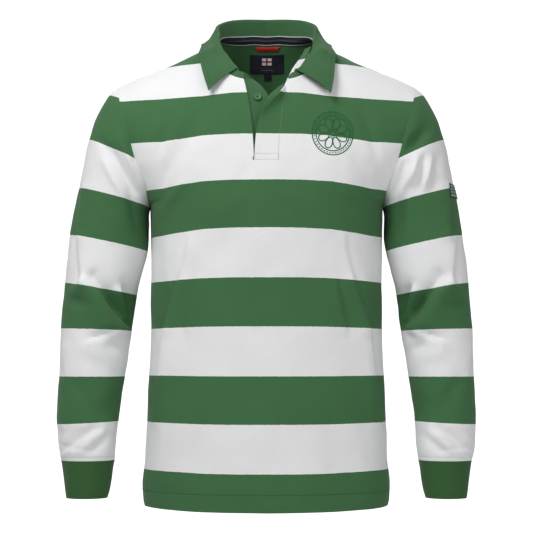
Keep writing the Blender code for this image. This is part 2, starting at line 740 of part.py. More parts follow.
def placket_frame(front):
    """For each row beside the placket, the two edges of its opening."""
    first = BODY_STEPS + PLACKET_STEP
    col = NECK_STEPS + SHOULDER_STEPS
    return [(front[row, col], front[row, col + CENTRE_STEPS]) for row in range(first, front.shape[0])]


def surface_y(x, z):
    """How far forward the front panel's own surface would be at this place."""
    rise = min(max((z - UNDERARM_Z) / (ridge(x) - UNDERARM_Z), 0), 0.99)
    return front_or_back(x, math.sqrt(1 - rise), True).y


def strip_line(seam, share, name, power, sink, lift):
    """Points across a strip, from its seam to its free edge."""
    free_x = strip_read(name + "_x", share)
    back = strip_read(name + "_back", share)
    line = []
    for step in range(STRIP_STEPS + 2):
        t = (step / (STRIP_STEPS + 1)) ** power
        x = blend(seam.x, free_x, t)
        y = surface_y(x, seam.z) + (back - lift) * t * t + sink * min(t * STRIP_FALL, 1)
        line.append((x, y if t else seam.y, seam.z + STRIP_RISE * share**6 * t))
    return line


def under_grid(front):
    """The button side of the placket, sewn to the opening's edge on the wearer's right."""
    frame = placket_frame(front)
    last = len(frame) - 1
    edges = [Vector(right_edge) for right_edge, _ in frame]
    return np.array([strip_line(e, i / last, "under", UNDER_POWER, UNDER_SINK, 0.0) for i, e in enumerate(edges)])


def flap_grid(front):
    """The flap over the placket, sewn to the opening's edge on the wearer's left."""
    frame = placket_frame(front)
    last = len(frame) - 1
    edges = [Vector(left_edge) for _, left_edge in frame]
    rows = [strip_line(e, i / last, "flap", FLAP_POWER, 0.0, FLAP_LIFT) for i, e in enumerate(edges)]
    return np.array(rows)[:, ::-1]


def tree_of(points, faces):
    return BVHTree.FromPolygons([Vector(p) for p in points], [tuple(f) for f in faces])


def lift_clear(point, tree, clearance):
    """The point moved out from the surface until it is this far from it, if it lies within reach."""
    place, normal, _, _ = tree.find_nearest(point)
    height = (point - place).dot(normal)
    away = (point - place).length
    if height < clearance and away < 0.03:
        return point + normal * (clearance - height)
    return point


def smooth_lift(grid, first, trees, clearance):
    """Lifts the leaf of the collar off the panels below it."""
    out = grid.copy()
    for i in range(grid.shape[0]):
        for j in range(first, grid.shape[1]):
            point = Vector(grid[i, j])
            for tree in trees:
                point = lift_clear(point, tree, clearance)
            out[i, j] = point
    return out


def simple_wall(name, grid, wall, colour, flip=False):
    """A wall of cloth from a grid of points on its outer face, with no seam to share."""
    cloth = Cloth(np.array(grid), wall, flip=flip)
    make_wall(name, cloth, shared_normals([cloth], []), colour)


def cast(tree, start, direction):
    place, _, _, _ = tree.ray_cast(Vector(start), Vector(direction))
    return place


def back_patch(name, tree, box, shrink, cols, rows, colour):
    """A flat trim laid on the inside of the back, between two heights."""
    x_low, x_high, z_low, z_high = box
    grid = []
    for i in range(rows + 1):
        z = blend(z_high, z_low, i / rows)
        half = (x_high - x_low) / 2 * (1 - shrink * i / rows)
        centre = (x_high + x_low) / 2
        line = []
        for j in range(cols + 1):
            x = centre + half * (2 * j / cols - 1)
            hit = cast(tree, (x, 0, z), (0, 1, 0))
            line.append((x, hit.y - 2 * TRIM_GAP - LABEL_THICK, z))
        grid.append(line)
    simple_wall(name, grid, LABEL_THICK, colour, flip=True)


def inside_point(cloth, index, normals):
    """A point on the inner face of a wall, and the direction into the hollow there."""
    normal = normals[place_key(cloth.points[index])]
    return cloth.points[index] - normal * cloth.wall, -normal


def neck_tape(back, collar, first_section, normals):
    """A tape over the back neck seam, half on the stand of the collar and half on the back."""
    rows = []
    reach = NECK_STEPS - 1
    lower_row = len(back.points) // back.across - 2
    middle = lower_row * back.across + back.across // 2
    for i in range(-reach, reach + 1):
        base = (first_section + NECK_STEPS + i) * collar.across
        seam, into = inside_point(collar, base, normals)
        upper, into_upper = inside_point(collar, base + 1, normals)
        lower, into_lower = inside_point(back, middle + i, normals)
        lift = TRIM_GAP + TAPE_THICK
        above = seam + (upper - seam) / np.linalg.norm(upper - seam) * TAPE_HALF + into_upper * lift
        below = seam + (lower - seam) / np.linalg.norm(lower - seam) * TAPE_HALF + into_lower * lift
        rows.append([above, seam + into * lift * TAPE_CROWN, below])
    simple_wall("neck_tape", rows, TAPE_THICK, NAVY, flip=True)


def sleeve_badge(sleeve_tree):
    """A patch on the outside of the left sleeve."""
    rows = []
    for i in range(BADGE_ROWS + 1):
        z = BADGE_Z + BADGE_HALF_HEIGHT * (2 * i / BADGE_ROWS - 1)
        line = []
        for j in range(BADGE_STEPS + 1):
            angle = math.radians(blend(BADGE_FROM, BADGE_TO, j / BADGE_STEPS))
            direction = Vector((-math.cos(angle), -math.sin(angle), BADGE_RISE)).normalized()
            hit = cast(sleeve_tree, (BADGE_CENTRE_X, 0, z), direction)
            line.append(tuple(hit + direction * (2 * TRIM_GAP + BADGE_THICK)))
        rows.append(line)
    simple_wall("sleeve_badge", rows, BADGE_THICK, GREY)


def turned_disc(profile, place):
    """A closed round body turned from (radius, height) pairs, whose first and last lie on its axis."""
    bm = bmesh.new()
    rings = []
    for radius, height in profile:
        turns = [2 * math.pi * k / BUTTON_SIDES for k in range(BUTTON_SIDES if radius else 1)]
        circle = [Vector((radius * math.cos(t), radius * math.sin(t), height)) for t in turns]
        rings.append([bm.verts.new(place @ point) for point in circle])
    for low, high in zip(rings, rings[1:]):
        for k in range(BUTTON_SIDES):
            n = (k + 1) % BUTTON_SIDES
            if len(low) == 1:
                bm.faces.new((low[0], high[n], high[k]))
            elif len(high) == 1:
                bm.faces.new((low[k], low[n], high[0]))
            else:
                bm.faces.new((low[k], low[n], high[n], high[k]))
    mesh = bpy.data.meshes.new("button")
    bm.to_mesh(mesh)
    bm.free()
    return mesh


def button_hole(made, place, k):
    """Cuts one of the button's four holes."""
    turn = math.pi / 4 + k * math.pi / 2
    offset = Vector((math.cos(turn), math.sin(turn), 0)) * BUTTON_HOLE_OUT
    bpy.ops.mesh.primitive_cylinder_add(vertices=10, radius=BUTTON_HOLE, depth=4 * BUTTON_THICK)
    cutter = bpy.context.object
    cutter.name = "button_hole_" + str(k)
    cutter.matrix_world = place @ Matrix.Translation(offset)
    cutter.hide_render = True
    cutter.display_type = "WIRE"
    cut = made.modifiers.new("hole_" + str(k), "BOOLEAN")
    cut.operation = "DIFFERENCE"
    cut.solver = "EXACT"
    cut.object = cutter


def button(under_tree):
    """A round button with a rim and four holes, lying on the under placket."""
    spot, normal, _, _ = under_tree.ray_cast(Vector((BUTTON_X, -0.2, BUTTON_Z)), Vector((0, 1, 0)))
    outward = -normal if normal.y > 0 else normal
    place = Matrix.Translation(spot + outward * TRIM_GAP) @ outward.to_track_quat("Z", "Y").to_matrix().to_4x4()
    profile = [(BUTTON_RADIUS * out, BUTTON_THICK * up) for out, up in BUTTON_PROFILE]
    mesh = turned_disc(profile, place)
    mesh.materials.append(material("button_plastic", DARK_GREEN, 0.35))
    made = bpy.data.objects.new("button", mesh)
    bpy.context.scene.collection.objects.link(made)
    for k in range(BUTTON_HOLES):
        button_hole(made, place, k)


def facing_grid(front):
    """The inner buttonhole layer: behind the flap in the placket, then on up inside the neck."""
    rows = []
    frame = placket_frame(front)
    for i, (_, left_edge) in enumerate(frame):
        share = i / (len(frame) - 1)
        seam = Vector(left_edge)
        free_x = strip_read("facing_x", share)
        back = strip_read("facing_back", share)
        high = min(max(1 - (1 - share) / FACING_TURN, 0), 1)
        high = high * high * (3 - 2 * high)
        sewn_x = seam.x - FACING_INSET + FACING_TOP_SHIFT * high
        line = []
        for step in range(STRIP_STEPS + 2):
            t = step / (STRIP_STEPS + 1)
            x = blend(sewn_x, free_x, t)
            y = surface_y(x, seam.z) + FACING_SINK + blend(FACING_TOP_BACK * high, back, t)
            line.append((x, y, seam.z + FACING_RISE))
        rows.append(line[::-1])
    for free_x, free_y, free_z, sewn_x, sewn_y, sewn_z in INNER_FACING_ROWS:
        free = Vector((free_x, free_y, free_z))
        sewn = Vector((sewn_x, sewn_y, sewn_z))
        rows.append([tuple(blend(free, sewn, k / (STRIP_STEPS + 1))) for k in range(STRIP_STEPS + 2)])
    return np.array(rows)


def neck_chain(front, back, under, flap):
    """The points that the collar is sewn to, from the under placket round the neck to the flap, and where
    the middle of the back lies among them."""
    steps = NECK_STEPS + SHOULDER_STEPS
    right_neck = [front[-1, steps - i] for i in range(NECK_STEPS)]
    back_neck = [back[-1, steps + i] for i in range(-NECK_STEPS, NECK_STEPS + 1)]
    left_neck = [front[-1, steps + CENTRE_STEPS + i] for i in reversed(range(NECK_STEPS))]
    start = list(under[-1][:0:-1]) + right_neck
    return np.array(start + back_neck + left_neck + list(flap[-1][-2::-1])), len(start) + NECK_STEPS


def collar_grid(chain, middle, panel_trees):
    """A section of the collar at each point of the chain, its leaf lying on the panels. Only the stand runs
    on over the two strips of the placket."""
    run = np.concatenate([[0.0], np.cumsum(np.linalg.norm(np.diff(chain, axis=0), axis=1))])
    sections = []
    for i, base in enumerate(chain):
        left_side = i >= middle
        whole = run[-1] - run[middle] if left_side else run[middle]
        share = abs(run[i] - run[middle]) / whole
        sections.append([tuple(p) for p in collar_section(Vector(base), share, left_side)])
    first_leaf_point = COLLAR_STAND_STEPS + COLLAR_ROLL_STEPS + 1
    grid = smooth_lift(np.array(sections), first_leaf_point, panel_trees, COLLAR_CLEAR)
    faces = np.ones((grid.shape[0] - 1, grid.shape[1] - 1), bool)
    strip = STRIP_STEPS + 2
    faces[:strip, COLLAR_STAND_STEPS:] = False
    faces[-strip:, COLLAR_STAND_STEPS:] = False
    return grid, faces


def armhole_hints(loop):
    """Directions that stand the armhole seam's wall square to both the body and the sleeve."""
    outward = loop - loop.mean(axis=0)
    outward /= np.linalg.norm(outward, axis=1, keepdims=True)
    flip = np.array((-1, 1, 1))
    return [(point * side, out * side) for point, out in zip(loop, outward) for side in (1, flip)]


def make_trim(cloths, walls, normals):
    """The tape, labels, badge and button, each laid on the cloth that carries it."""
    back = cloths["back"]
    collar = cloths["collar"]
    neck_tape(back, collar, STRIP_STEPS + 1 + NECK_STEPS, normals)
    _, inner, order = walls["back"]
    inner_back = tree_of(inner, [[order[i] for i in face[::-1]] for face in back.faces])
    back_patch("hanger_loop", inner_back, LOOP_BOX, LOOP_TAPER, 6, 2, RED)
    back_patch("label", inner_back, LABEL_BOX, 0.0, 10, 4, NAVY)
    back_patch("size_tab", inner_back, TAB_BOX, 0.0, 2, 2, NAVY)
    sleeve_badge(tree_of(cloths["sleeve_left"].points, cloths["sleeve_left"].faces))
    button(tree_of(cloths["placket_under"].points, cloths["placket_under"].faces))


def main():
    for old in list(bpy.data.objects):
        bpy.data.objects.remove(old)
    front, front_faces = front_grid()
    back, back_faces = back_grid()
    front = folded(front, FRONT_FOLDS)
    back = folded(back, BACK_FOLDS)
    armhole = list(front[BODY_STEPS:, -1]) + list(back[BODY_STEPS + 1 : -1, -1][::-1])
    sleeve = sleeve_grid(armhole)
    cuff = cuff_grid()
    under = under_grid(front)
    flap = flap_grid(front)
    front_tree = tree_of(front.reshape(-1, 3), quads(front, front_faces))
    back_tree = tree_of(back.reshape(-1, 3), [face[::-1] for face in quads(back, back_faces)])
    collar, collar_faces = collar_grid(*neck_chain(front, back, under, flap), (front_tree, back_tree))

    flip = np.array((-1, 1, 1))
    cloths = {
        "front": Cloth(front, WALL, front_faces),
        "back": Cloth(back, WALL, back_faces, flip=True),
        "sleeve_left": Cloth(sleeve, WALL, ring=True, flip=True),
        "sleeve_right": Cloth(sleeve * flip, WALL, ring=True),
        "cuff_left": Cloth(cuff, CUFF_WALL, ring=True, flip=True),
        "cuff_right": Cloth(cuff * flip, CUFF_WALL, ring=True),
        "collar": Cloth(collar, COLLAR_WALL, collar_faces),
        "placket_under": Cloth(under, PLACKET_WALL),
        "placket_over": Cloth(flap, PLACKET_WALL),
    }
    colours = {"cuff_left": DARK_GREEN, "cuff_right": DARK_GREEN, "placket_over": WHITE}
    normals = shared_normals(cloths.values(), armhole_hints(sleeve[0]))
    walls = {name: make_wall(name, cloth, normals, colours.get(name, GREEN)) for name, cloth in cloths.items()}
    make_trim(cloths, walls, normals)
    simple_wall("placket_facing", facing_grid(front), PLACKET_WALL, GREEN)


main()
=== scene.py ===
# %% [markdown]
# # A hooped rugby shirt, filled out with no wearer
# The shirt is heavy cotton jersey in green and white hoops, with a green twill collar and a short
# placket. The solid model gives each panel's form. This script makes the cloth over it: a smooth thin
# wall for each panel with its folds, hoops, stitching and trim.

# %% Setup
import math

import bpy
import numpy as np
from mathutils import Matrix, Vector, noise
from mathutils.bvhtree import BVHTree


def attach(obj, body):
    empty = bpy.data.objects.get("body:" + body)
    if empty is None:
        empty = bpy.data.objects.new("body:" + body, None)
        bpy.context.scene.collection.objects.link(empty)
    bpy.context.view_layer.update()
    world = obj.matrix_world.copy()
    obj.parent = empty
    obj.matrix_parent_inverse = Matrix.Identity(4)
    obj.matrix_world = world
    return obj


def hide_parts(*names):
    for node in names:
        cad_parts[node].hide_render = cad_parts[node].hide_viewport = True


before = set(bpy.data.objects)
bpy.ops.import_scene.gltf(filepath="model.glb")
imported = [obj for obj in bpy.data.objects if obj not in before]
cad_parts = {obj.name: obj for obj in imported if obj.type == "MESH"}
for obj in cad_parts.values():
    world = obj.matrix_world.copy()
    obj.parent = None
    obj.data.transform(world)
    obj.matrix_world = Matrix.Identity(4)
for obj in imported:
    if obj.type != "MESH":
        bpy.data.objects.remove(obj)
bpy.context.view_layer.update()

# %% [markdown]
# ## Camera
# A long lens, 2.6 m in front of the shirt and level with its waist, tilted up a little.

# %% Camera
DISTANCE = 2.6
EYE_Z = -0.5022
TILT = math.radians(3.544)
FRAME_WIDTH = 0.861
SENSOR = 36.0

camera_data = bpy.data.cameras.new("camera")
camera_data.sensor_width = SENSOR
camera_data.lens = SENSOR * DISTANCE / FRAME_WIDTH
camera = bpy.data.objects.new("camera", camera_data)
camera.location = (0, -DISTANCE, EYE_Z)
camera.rotation_euler = (math.pi / 2 + TILT, 0, 0)
bpy.context.scene.collection.objects.link(camera)
bpy.context.scene.camera = camera
print("lens", round(camera_data.lens, 1), "mm")

# %% [markdown]
# ## Colours and nodes
# Two small helpers: one turns an sRGB code to linear, the other adds any shader node.

# %% Colours and nodes
def colour(code):
    """A linear colour from an sRGB hex code."""
    parts = [int(code[i : i + 2], 16) / 255 for i in (1, 3, 5)]
    linear = [p / 12.92 if p <= 0.04045 else ((p + 0.055) / 1.055) ** 2.4 for p in parts]
    return (*linear, 1.0)


def add(tree, kind, inputs=(), out=0, **settings):
    """Adds a shader node with its settings, fills or links its inputs, and gives one of its outputs."""
    made = tree.nodes.new("ShaderNode" + kind)
    for name, value in settings.items():
        setattr(made, name, value)
    for key, value in (inputs if isinstance(inputs, dict) else dict(enumerate(inputs))).items():
        if isinstance(value, bpy.types.NodeSocket):
            tree.links.new(value, made.inputs[key])
        else:
            made.inputs[key].default_value = value
    return made.outputs[out]


print("mid grey is", round(colour("#808080")[0], 3), "in linear light")

# %% [markdown]
# ## Stage and light
# White surroundings, a pale floor well below, a soft key light from the upper left, a wide weaker one
# from the right and one behind. The floor glows for the camera alone, so it looks white and doesn't light
# the cloth.

# %% Stage and light
def soft_light(name, place, aim, size, power):
    data = bpy.data.lights.new(name, "AREA")
    data.shape = "RECTANGLE"
    data.size, data.size_y = size
    data.energy = power
    lamp = bpy.data.objects.new(name, data)
    lamp.location = place
    lamp.rotation_euler = (Vector(aim) - Vector(place)).to_track_quat("-Z", "Y").to_euler()
    bpy.context.scene.collection.objects.link(lamp)


def make_floor_paint():
    """Matt white board that looks evenly bright."""
    made = bpy.data.materials.new("pale_floor")
    made.use_nodes = True
    tree = made.node_tree
    shader = tree.nodes["Principled BSDF"]
    shader.inputs["Base Color"].default_value = colour("#f4f4f4")
    shader.inputs["Roughness"].default_value = 0.9
    shader.inputs["Emission Color"].default_value = colour("#f4f4f4")
    seen = add(tree, "LightPath", out="Is Camera Ray")
    glow = add(tree, "Math", (seen, 0.6), operation="MULTIPLY")
    tree.links.new(glow, shader.inputs["Emission Strength"])
    return made


def white_room(fill):
    """Surroundings that the camera sees as white and that light the cloth by a share of it."""
    world = bpy.data.worlds.new("white_room")
    world.use_nodes = True
    tree = world.node_tree
    seen = add(tree, "LightPath", out="Is Camera Ray")
    strength = add(tree, "Math", (seen, 1.0 - fill, fill), operation="MULTIPLY_ADD")
    tree.links.new(strength, tree.nodes["Background"].inputs["Strength"])
    tree.nodes["Background"].inputs["Color"].default_value = (1, 1, 1, 1)
    return world


bpy.context.scene.world = white_room(0.30)
bpy.context.scene.view_settings.view_transform = "Standard"
bpy.context.scene.view_settings.look = "Medium High Contrast"
bpy.ops.mesh.primitive_plane_add(size=9, location=(0, 0, -1.35))
floor = bpy.context.object
floor.name = "floor"
floor.data.materials.append(make_floor_paint())
soft_light("key", (-0.8, -1.2, 1.2), (0, 0, -0.3), (0.9, 0.9), 22)
soft_light("fill", (1.2, -1.9, 0.1), (0, 0, -0.35), (1.6, 1.6), 9.5)
soft_light("behind", (0.2, 1.8, 1.2), (0, 0, -0.3), (1.6, 1.2), 14)
print("lights", len(bpy.data.lights))

# %% [markdown]
# ## Tables
# The shirt's form is kept in small tables of stations, in metres. They are read as smooth curves.

# %% Tables
def table(names, *rows):
    """The columns of the rows by name. The first column holds the stations."""
    return dict(zip(names.split(), np.array(rows).T))


def between(t, start, end, start_slope, end_slope):
    """A smooth curve from start to end, with t from 0 to 1."""
    leaving = (1 + 2 * t) * (1 - t) ** 2 * start + t * (1 - t) ** 2 * start_slope
    return leaving + t * t * (3 - 2 * t) * end + t * t * (t - 1) * end_slope


def read(columns, name, at):
    """Reads a column of a table as a smooth curve."""
    stations, values = next(iter(columns.values())), columns[name]
    slopes = np.gradient(values, stations)
    at = np.clip(at, stations[0], stations[-1])
    index = np.clip(np.searchsorted(stations, at, side="right") - 1, 0, len(stations) - 2)
    step = stations[index + 1] - stations[index]
    t = (at - stations[index]) / step
    return between(t, values[index], values[index + 1], step * slopes[index], step * slopes[index + 1])


def mix(a, b, t):
    return a + (b - a) * t


def soft_step(value, low, high):
    t = np.clip((value - low) / (high - low), 0, 1)
    return t * t * (3 - 2 * t)


print("halfway up a soft step", soft_step(0.5, 0, 1))

# %% [markdown]
# ## Body below the arms
# The same sections as the solid model: half width, and depth in front and behind, by height.

# %% Body below the arms
HEM_Z = -0.727
UNDERARM_Z = -0.248
SECTION_POWER = 2.25
NECK_STEPS = 6
STEPS = 12
BODY = table(
    "z half_width front back",
    (-0.727, 0.1962, 0.129, 0.121),
    (-0.700, 0.1985, 0.129, 0.120),
    (-0.655, 0.1940, 0.127, 0.117),
    (-0.595, 0.1922, 0.125, 0.114),
    (-0.530, 0.1898, 0.123, 0.111),
    (-0.465, 0.1866, 0.122, 0.110),
    (-0.380, 0.1860, 0.124, 0.113),
    (-0.310, 0.1868, 0.128, 0.119),
    (-0.248, 0.1885, 0.132, 0.126),
)


def level_x(step, z, inner_x):
    """How far out a column of the grid lies at a height. The columns are even round the curve."""
    half = read(BODY, "half_width", z)
    first = math.asin((inner_x / half) ** (SECTION_POWER / 2))
    return half * math.sin(mix(first, math.pi / 2, step / STEPS)) ** (2 / SECTION_POWER)


def level_point(x, z, forward):
    share = min(abs(x) / read(BODY, "half_width", z), 1)
    y = read(BODY, "front" if forward else "back", z) * (1 - share**SECTION_POWER) ** (1 / SECTION_POWER)
    return Vector((x, -y if forward else y, z))


print("chest in front", tuple(round(v, 3) for v in level_point(0, UNDERARM_Z, True)))

# %% [markdown]
# ## Yoke
# Above the underarm the sections close over the ridge of the shoulders. A place there is told by x and by
# its drop, which falls from 1 at the underarm to 0 on the ridge, and below 0 past it.

# %% Yoke
ARMHOLE_FRONT = 0.076
ARMHOLE_BACK = 0.070
RIDGE = table(
    "x z",
    (0.000, 0.0900),
    (0.020, 0.0855),
    (0.040, 0.0680),
    (0.060, 0.0460),
    (0.080, 0.0250),
    (0.100, 0.0125),
    (0.123, 0.0010),
    (0.151, -0.0120),
    (0.183, -0.0253),
    (0.215, -0.0382),
    (0.240, -0.0500),
)
ARMHOLE = table(
    "rise x",
    (0.00, 0.1885),
    (0.11, 0.1912),
    (0.34, 0.2078),
    (0.61, 0.2216),
    (0.80, 0.2326),
    (1.00, 0.2400),
)


def height_at(x, drop):
    return UNDERARM_Z + (1 - drop * drop) * (read(RIDGE, "z", abs(x)) - UNDERARM_Z)


def rise_at(x, z):
    """How far up the yoke a height is, from 0 at the underarm to 1 on the ridge."""
    return (z - UNDERARM_Z) / (read(RIDGE, "z", abs(x)) - UNDERARM_Z)


def yoke_depth(x, drop, centre_depth, arm_depth):
    rise = 1 - drop * drop
    middle = centre_depth * math.sqrt(max(1 - rise * rise, 0))
    ratio = 2 * arm_depth / centre_depth * math.sqrt(rise / (1 + rise))
    cut = 1 - ratio**SECTION_POWER
    share = min(abs(x) / read(ARMHOLE, "x", rise), 1)
    return middle * (1 - cut * share**SECTION_POWER) ** (1 / SECTION_POWER)


def yoke_point(x, drop, forward):
    if forward == (drop >= 0):
        y = -yoke_depth(x, drop, read(BODY, "front", UNDERARM_Z), ARMHOLE_FRONT)
    else:
        y = yoke_depth(x, drop, read(BODY, "back", UNDERARM_Z), ARMHOLE_BACK)
    return Vector((x, y, height_at(x, drop)))


print("underarm at", tuple(round(v, 4) for v in yoke_point(0.240, 1.0, True)))

# %% [markdown]
# ## Tops of the panels
# The front ends at the neck seam and at a shoulder seam that lies in front of the ridge. The back reaches
# over the ridge to the same seam.

# %% Tops of the panels
NECK_X = 0.080
SHOULDER_X = 0.240
SEAM_DROP_NECK = 0.195
SEAM_DROP_ARM = 0.080
BACK_NECK_DROP = 0.387
FRONT_NECK_Z = -0.0560
FRONT_NECK_POWER = 2.8
PLACKET_HALF_TOP = 0.0355


def top_of_front(step):
    """x and drop where a front column ends, at the neck seam or the shoulder seam."""
    if step >= NECK_STEPS:
        share = (step - NECK_STEPS) / (STEPS - NECK_STEPS)
        return mix(NECK_X, SHOULDER_X, share), mix(SEAM_DROP_NECK, SEAM_DROP_ARM, share)
    angle = mix(math.asin(PLACKET_HALF_TOP / NECK_X), math.pi / 2, step / NECK_STEPS)
    x = NECK_X * math.sin(angle)
    side_z = height_at(NECK_X, SEAM_DROP_NECK)
    fall = (1 - (x / NECK_X) ** FRONT_NECK_POWER) ** (1 / FRONT_NECK_POWER)
    return x, math.sqrt(1 - rise_at(x, side_z - (side_z - FRONT_NECK_Z) * fall))


def top_of_back(step):
    if step >= NECK_STEPS:
        x, drop = top_of_front(step)
        return x, -drop
    angle = math.pi / 2 * step / NECK_STEPS
    drop = BACK_NECK_DROP - (BACK_NECK_DROP + SEAM_DROP_NECK) * (1 - math.cos(angle))
    return NECK_X * math.sin(angle), drop


print("neck seam in front at", [round(v, 4) for v in top_of_front(0)])

# %% [markdown]
# ## Columns of the grids
# Each panel is a grid of columns that run from the hem to its top. In front the inner column follows the
# slit of the placket, so that the panel can be cut open there.

# %% Columns of the grids
BODY_STEPS = 12
YOKE_STEPS = 12
PLACKET_STEP = 4
PLACKET_BOTTOM_Z = -0.184
PLACKET_HALF_BOTTOM = 0.0195


def drops_up(step, last_drop, row_share):
    """The drop at a share of the way up a column: middle columns even by arc, the armhole by angle."""
    arm_angle = 2 * math.acos(last_drop) * row_share
    middle = math.asin(1 - last_drop * last_drop)
    if last_drop < 0:
        middle = math.pi - middle
    middle *= row_share
    return mix(math.cos(middle / 2) - math.sin(middle / 2), math.cos(arm_angle / 2), (step / STEPS) ** 1.5)


def placket_row_share(row):
    """How far up a row lies in the column beside the placket, with one row at the foot of the slit."""
    _, drop = top_of_front(0)
    bottom = math.asin(rise_at(PLACKET_HALF_BOTTOM, PLACKET_BOTTOM_Z)) / math.asin(1 - drop * drop)
    if row <= PLACKET_STEP:
        return bottom * row / PLACKET_STEP
    return mix(bottom, 1, (row - PLACKET_STEP) / (YOKE_STEPS - PLACKET_STEP))


def side_column(step, forward):
    """Points of one column from the hem to its top, for x above 0."""
    inner_x = PLACKET_HALF_BOTTOM if forward else 0.0
    levels = [mix(HEM_Z, UNDERARM_Z, i / BODY_STEPS) for i in range(BODY_STEPS + 1)]
    points = [level_point(level_x(step, z, inner_x), z, forward) for z in levels]
    top_x, last_drop = top_of_front(step) if forward else top_of_back(step)
    half = read(BODY, "half_width", UNDERARM_Z)
    low_share = (level_x(step, UNDERARM_Z, inner_x) - inner_x) / (half - inner_x)
    top_inner = PLACKET_HALF_TOP if forward else 0.0
    top_share = (top_x - top_inner) / (SHOULDER_X - top_inner)
    for row in range(1, YOKE_STEPS + 1):
        ease = row_share = row / YOKE_STEPS
        edge = 0.0
        if forward:
            row_share = mix(row_share, placket_row_share(row), max(0, 1 - step / 3))
            slit_share = min(max((row - PLACKET_STEP) / (YOKE_STEPS - PLACKET_STEP), 0), 1)
            edge = mix(PLACKET_HALF_BOTTOM, PLACKET_HALF_TOP, slit_share**1.6)
        drop = drops_up(step, last_drop, row_share)
        across = mix(low_share, top_share, ease * ease * (3 - 2 * ease))
        x = top_x if row == YOKE_STEPS else mix(edge, read(ARMHOLE, "x", 1 - drop * drop), across)
        points.append(yoke_point(x, drop, forward))
    return points


print("points in a column", len(side_column(0, True)))

# %% [markdown]
# ## Coarse grids of front and back
# Both halves are mirror images. Between them the front has narrow columns below the placket.

# %% Coarse grids of front and back
CENTRE_STEPS = 3


def as_grid(columns):
    return np.array([[tuple(p) for p in c] for c in columns]).transpose(1, 0, 2)


def mirrored(points):
    return [Vector((-p.x, p.y, p.z)) for p in points]


def front_coarse():
    left = [side_column(step, True) for step in range(STEPS + 1)]
    middle = []
    for i in range(1, CENTRE_STEPS):
        x = mix(-1, 1, i / CENTRE_STEPS) * PLACKET_HALF_BOTTOM
        line = [level_point(x, point.z, True) for point in left[0][: BODY_STEPS + 1]]
        for point in left[0][BODY_STEPS + 1 :]:
            place = yoke_point(x, math.sqrt(1 - rise_at(point.x, point.z)), True)
            line.append(Vector((place.x, place.y, point.z)))
        middle.append(line)
    return as_grid([mirrored(c) for c in reversed(left)] + middle + left)


def back_coarse():
    left = [side_column(step, False) for step in range(STEPS + 1)]
    return as_grid([mirrored(c) for c in reversed(left[1:])] + left)


front_points = front_coarse()
back_points = back_coarse()
print("front grid", front_points.shape, "back grid", back_points.shape)

# %% [markdown]
# ## Fine grids
# Smooth curves through a coarse grid give a fine one. Neighbours share one fine line at each seam.

# %% Fine grids
FINE = 6
FLIP = np.array((-1.0, 1.0, 1.0))


def finer(points, factor, closed=False):
    """Runs smooth curves through the points along the first axis."""
    if closed:
        points = np.concatenate([points[-1:], points, points[:2]])
    slopes = np.gradient(points, axis=0)
    if closed:
        points, slopes = points[1:-1], slopes[1:-1]
    t = (np.arange(factor) / factor).reshape((1, factor) + (1,) * (points.ndim - 1))
    fine = between(t, points[:-1, None], points[1:, None], slopes[:-1, None], slopes[1:, None])
    fine = fine.reshape(-1, *points.shape[1:])
    return fine if closed else np.concatenate([fine, points[-1:]])


def finer_grid(grid):
    return finer(finer(grid, FINE).transpose(1, 0, 2), FINE).transpose(1, 0, 2)


def pull_edge(grid, target, edge, reach=2 * FINE):
    """Moves one edge of a grid onto the target points, and what is near it by less and less."""
    out = grid.copy()
    view = out if edge == "top" else out.transpose(1, 0, 2)
    if edge != "left":
        view = view[::-1]
    share = (1 - np.arange(reach) / reach) ** 2
    view[:reach] += (target - view[0]) * share[:, None, None]
    return out


armhole_points = np.concatenate([front_points[BODY_STEPS:, -1], back_points[BODY_STEPS + 1 : -1, -1][::-1]])
armhole_ring = finer(armhole_points, FINE, closed=True)
over = YOKE_STEPS * FINE
side_seam = finer(front_points[: BODY_STEPS + 1, -1], FINE)
front_side = np.concatenate([side_seam[:-1], armhole_ring[: over + 1]])
back_side = np.concatenate([side_seam, armhole_ring[over:][::-1]])
print("armhole points", len(armhole_ring))

# %% [markdown]
# ## Measures on a grid
# Running lengths give each piece its map in metres and its flat size. Normals carry the folds.

# %% Measures on a grid
def lengths(grid, axis, closed=False):
    """Running length along an axis of the grid, from its first row or column."""
    steps = np.linalg.norm(np.diff(grid, axis=axis), axis=2)
    start = np.zeros_like(np.take(steps, [0], axis=axis))
    run = np.concatenate([start, np.cumsum(steps, axis=axis)], axis=axis)
    if closed:
        last = np.linalg.norm(grid[:, 0] - grid[:, -1], axis=1)[:, None]
        run = np.concatenate([run, run[:, -1:] + last], axis=1)
    return run


def path_run(points):
    steps = np.linalg.norm(np.diff(points, axis=0), axis=1)
    return np.concatenate([[0.0], np.cumsum(steps)])


def grid_normals(grid, closed=False, turn=1):
    across = np.roll(grid, -1, axis=1) - np.roll(grid, 1, axis=1) if closed else np.gradient(grid, axis=1)
    normals = np.cross(across, np.gradient(grid, axis=0)) * turn
    return normals / np.maximum(np.linalg.norm(normals, axis=2, keepdims=True), 1e-12)


def to_edges(grid):
    """Distance from the side edges and the top edge, along the cloth."""
    around = lengths(grid, 1)
    up = lengths(grid, 0)
    return np.minimum(np.minimum(around, around[:, -1:] - around), up[-1:] - up)


print("round the armhole", round(float(path_run(armhole_ring)[-1]), 3), "m")

# %% [markdown]
# ## Folds
# Cloth filled from inside pulls in soft lines from the armholes, under the collar and round the elbows.
# Each is placed along its own line, from x1, z1 to x2, z2, with a width and a height. Below 0 it is a
# trough. A simulation would give other folds each time, and these follow the photo.

# %% Folds
LAP_END = 0.009


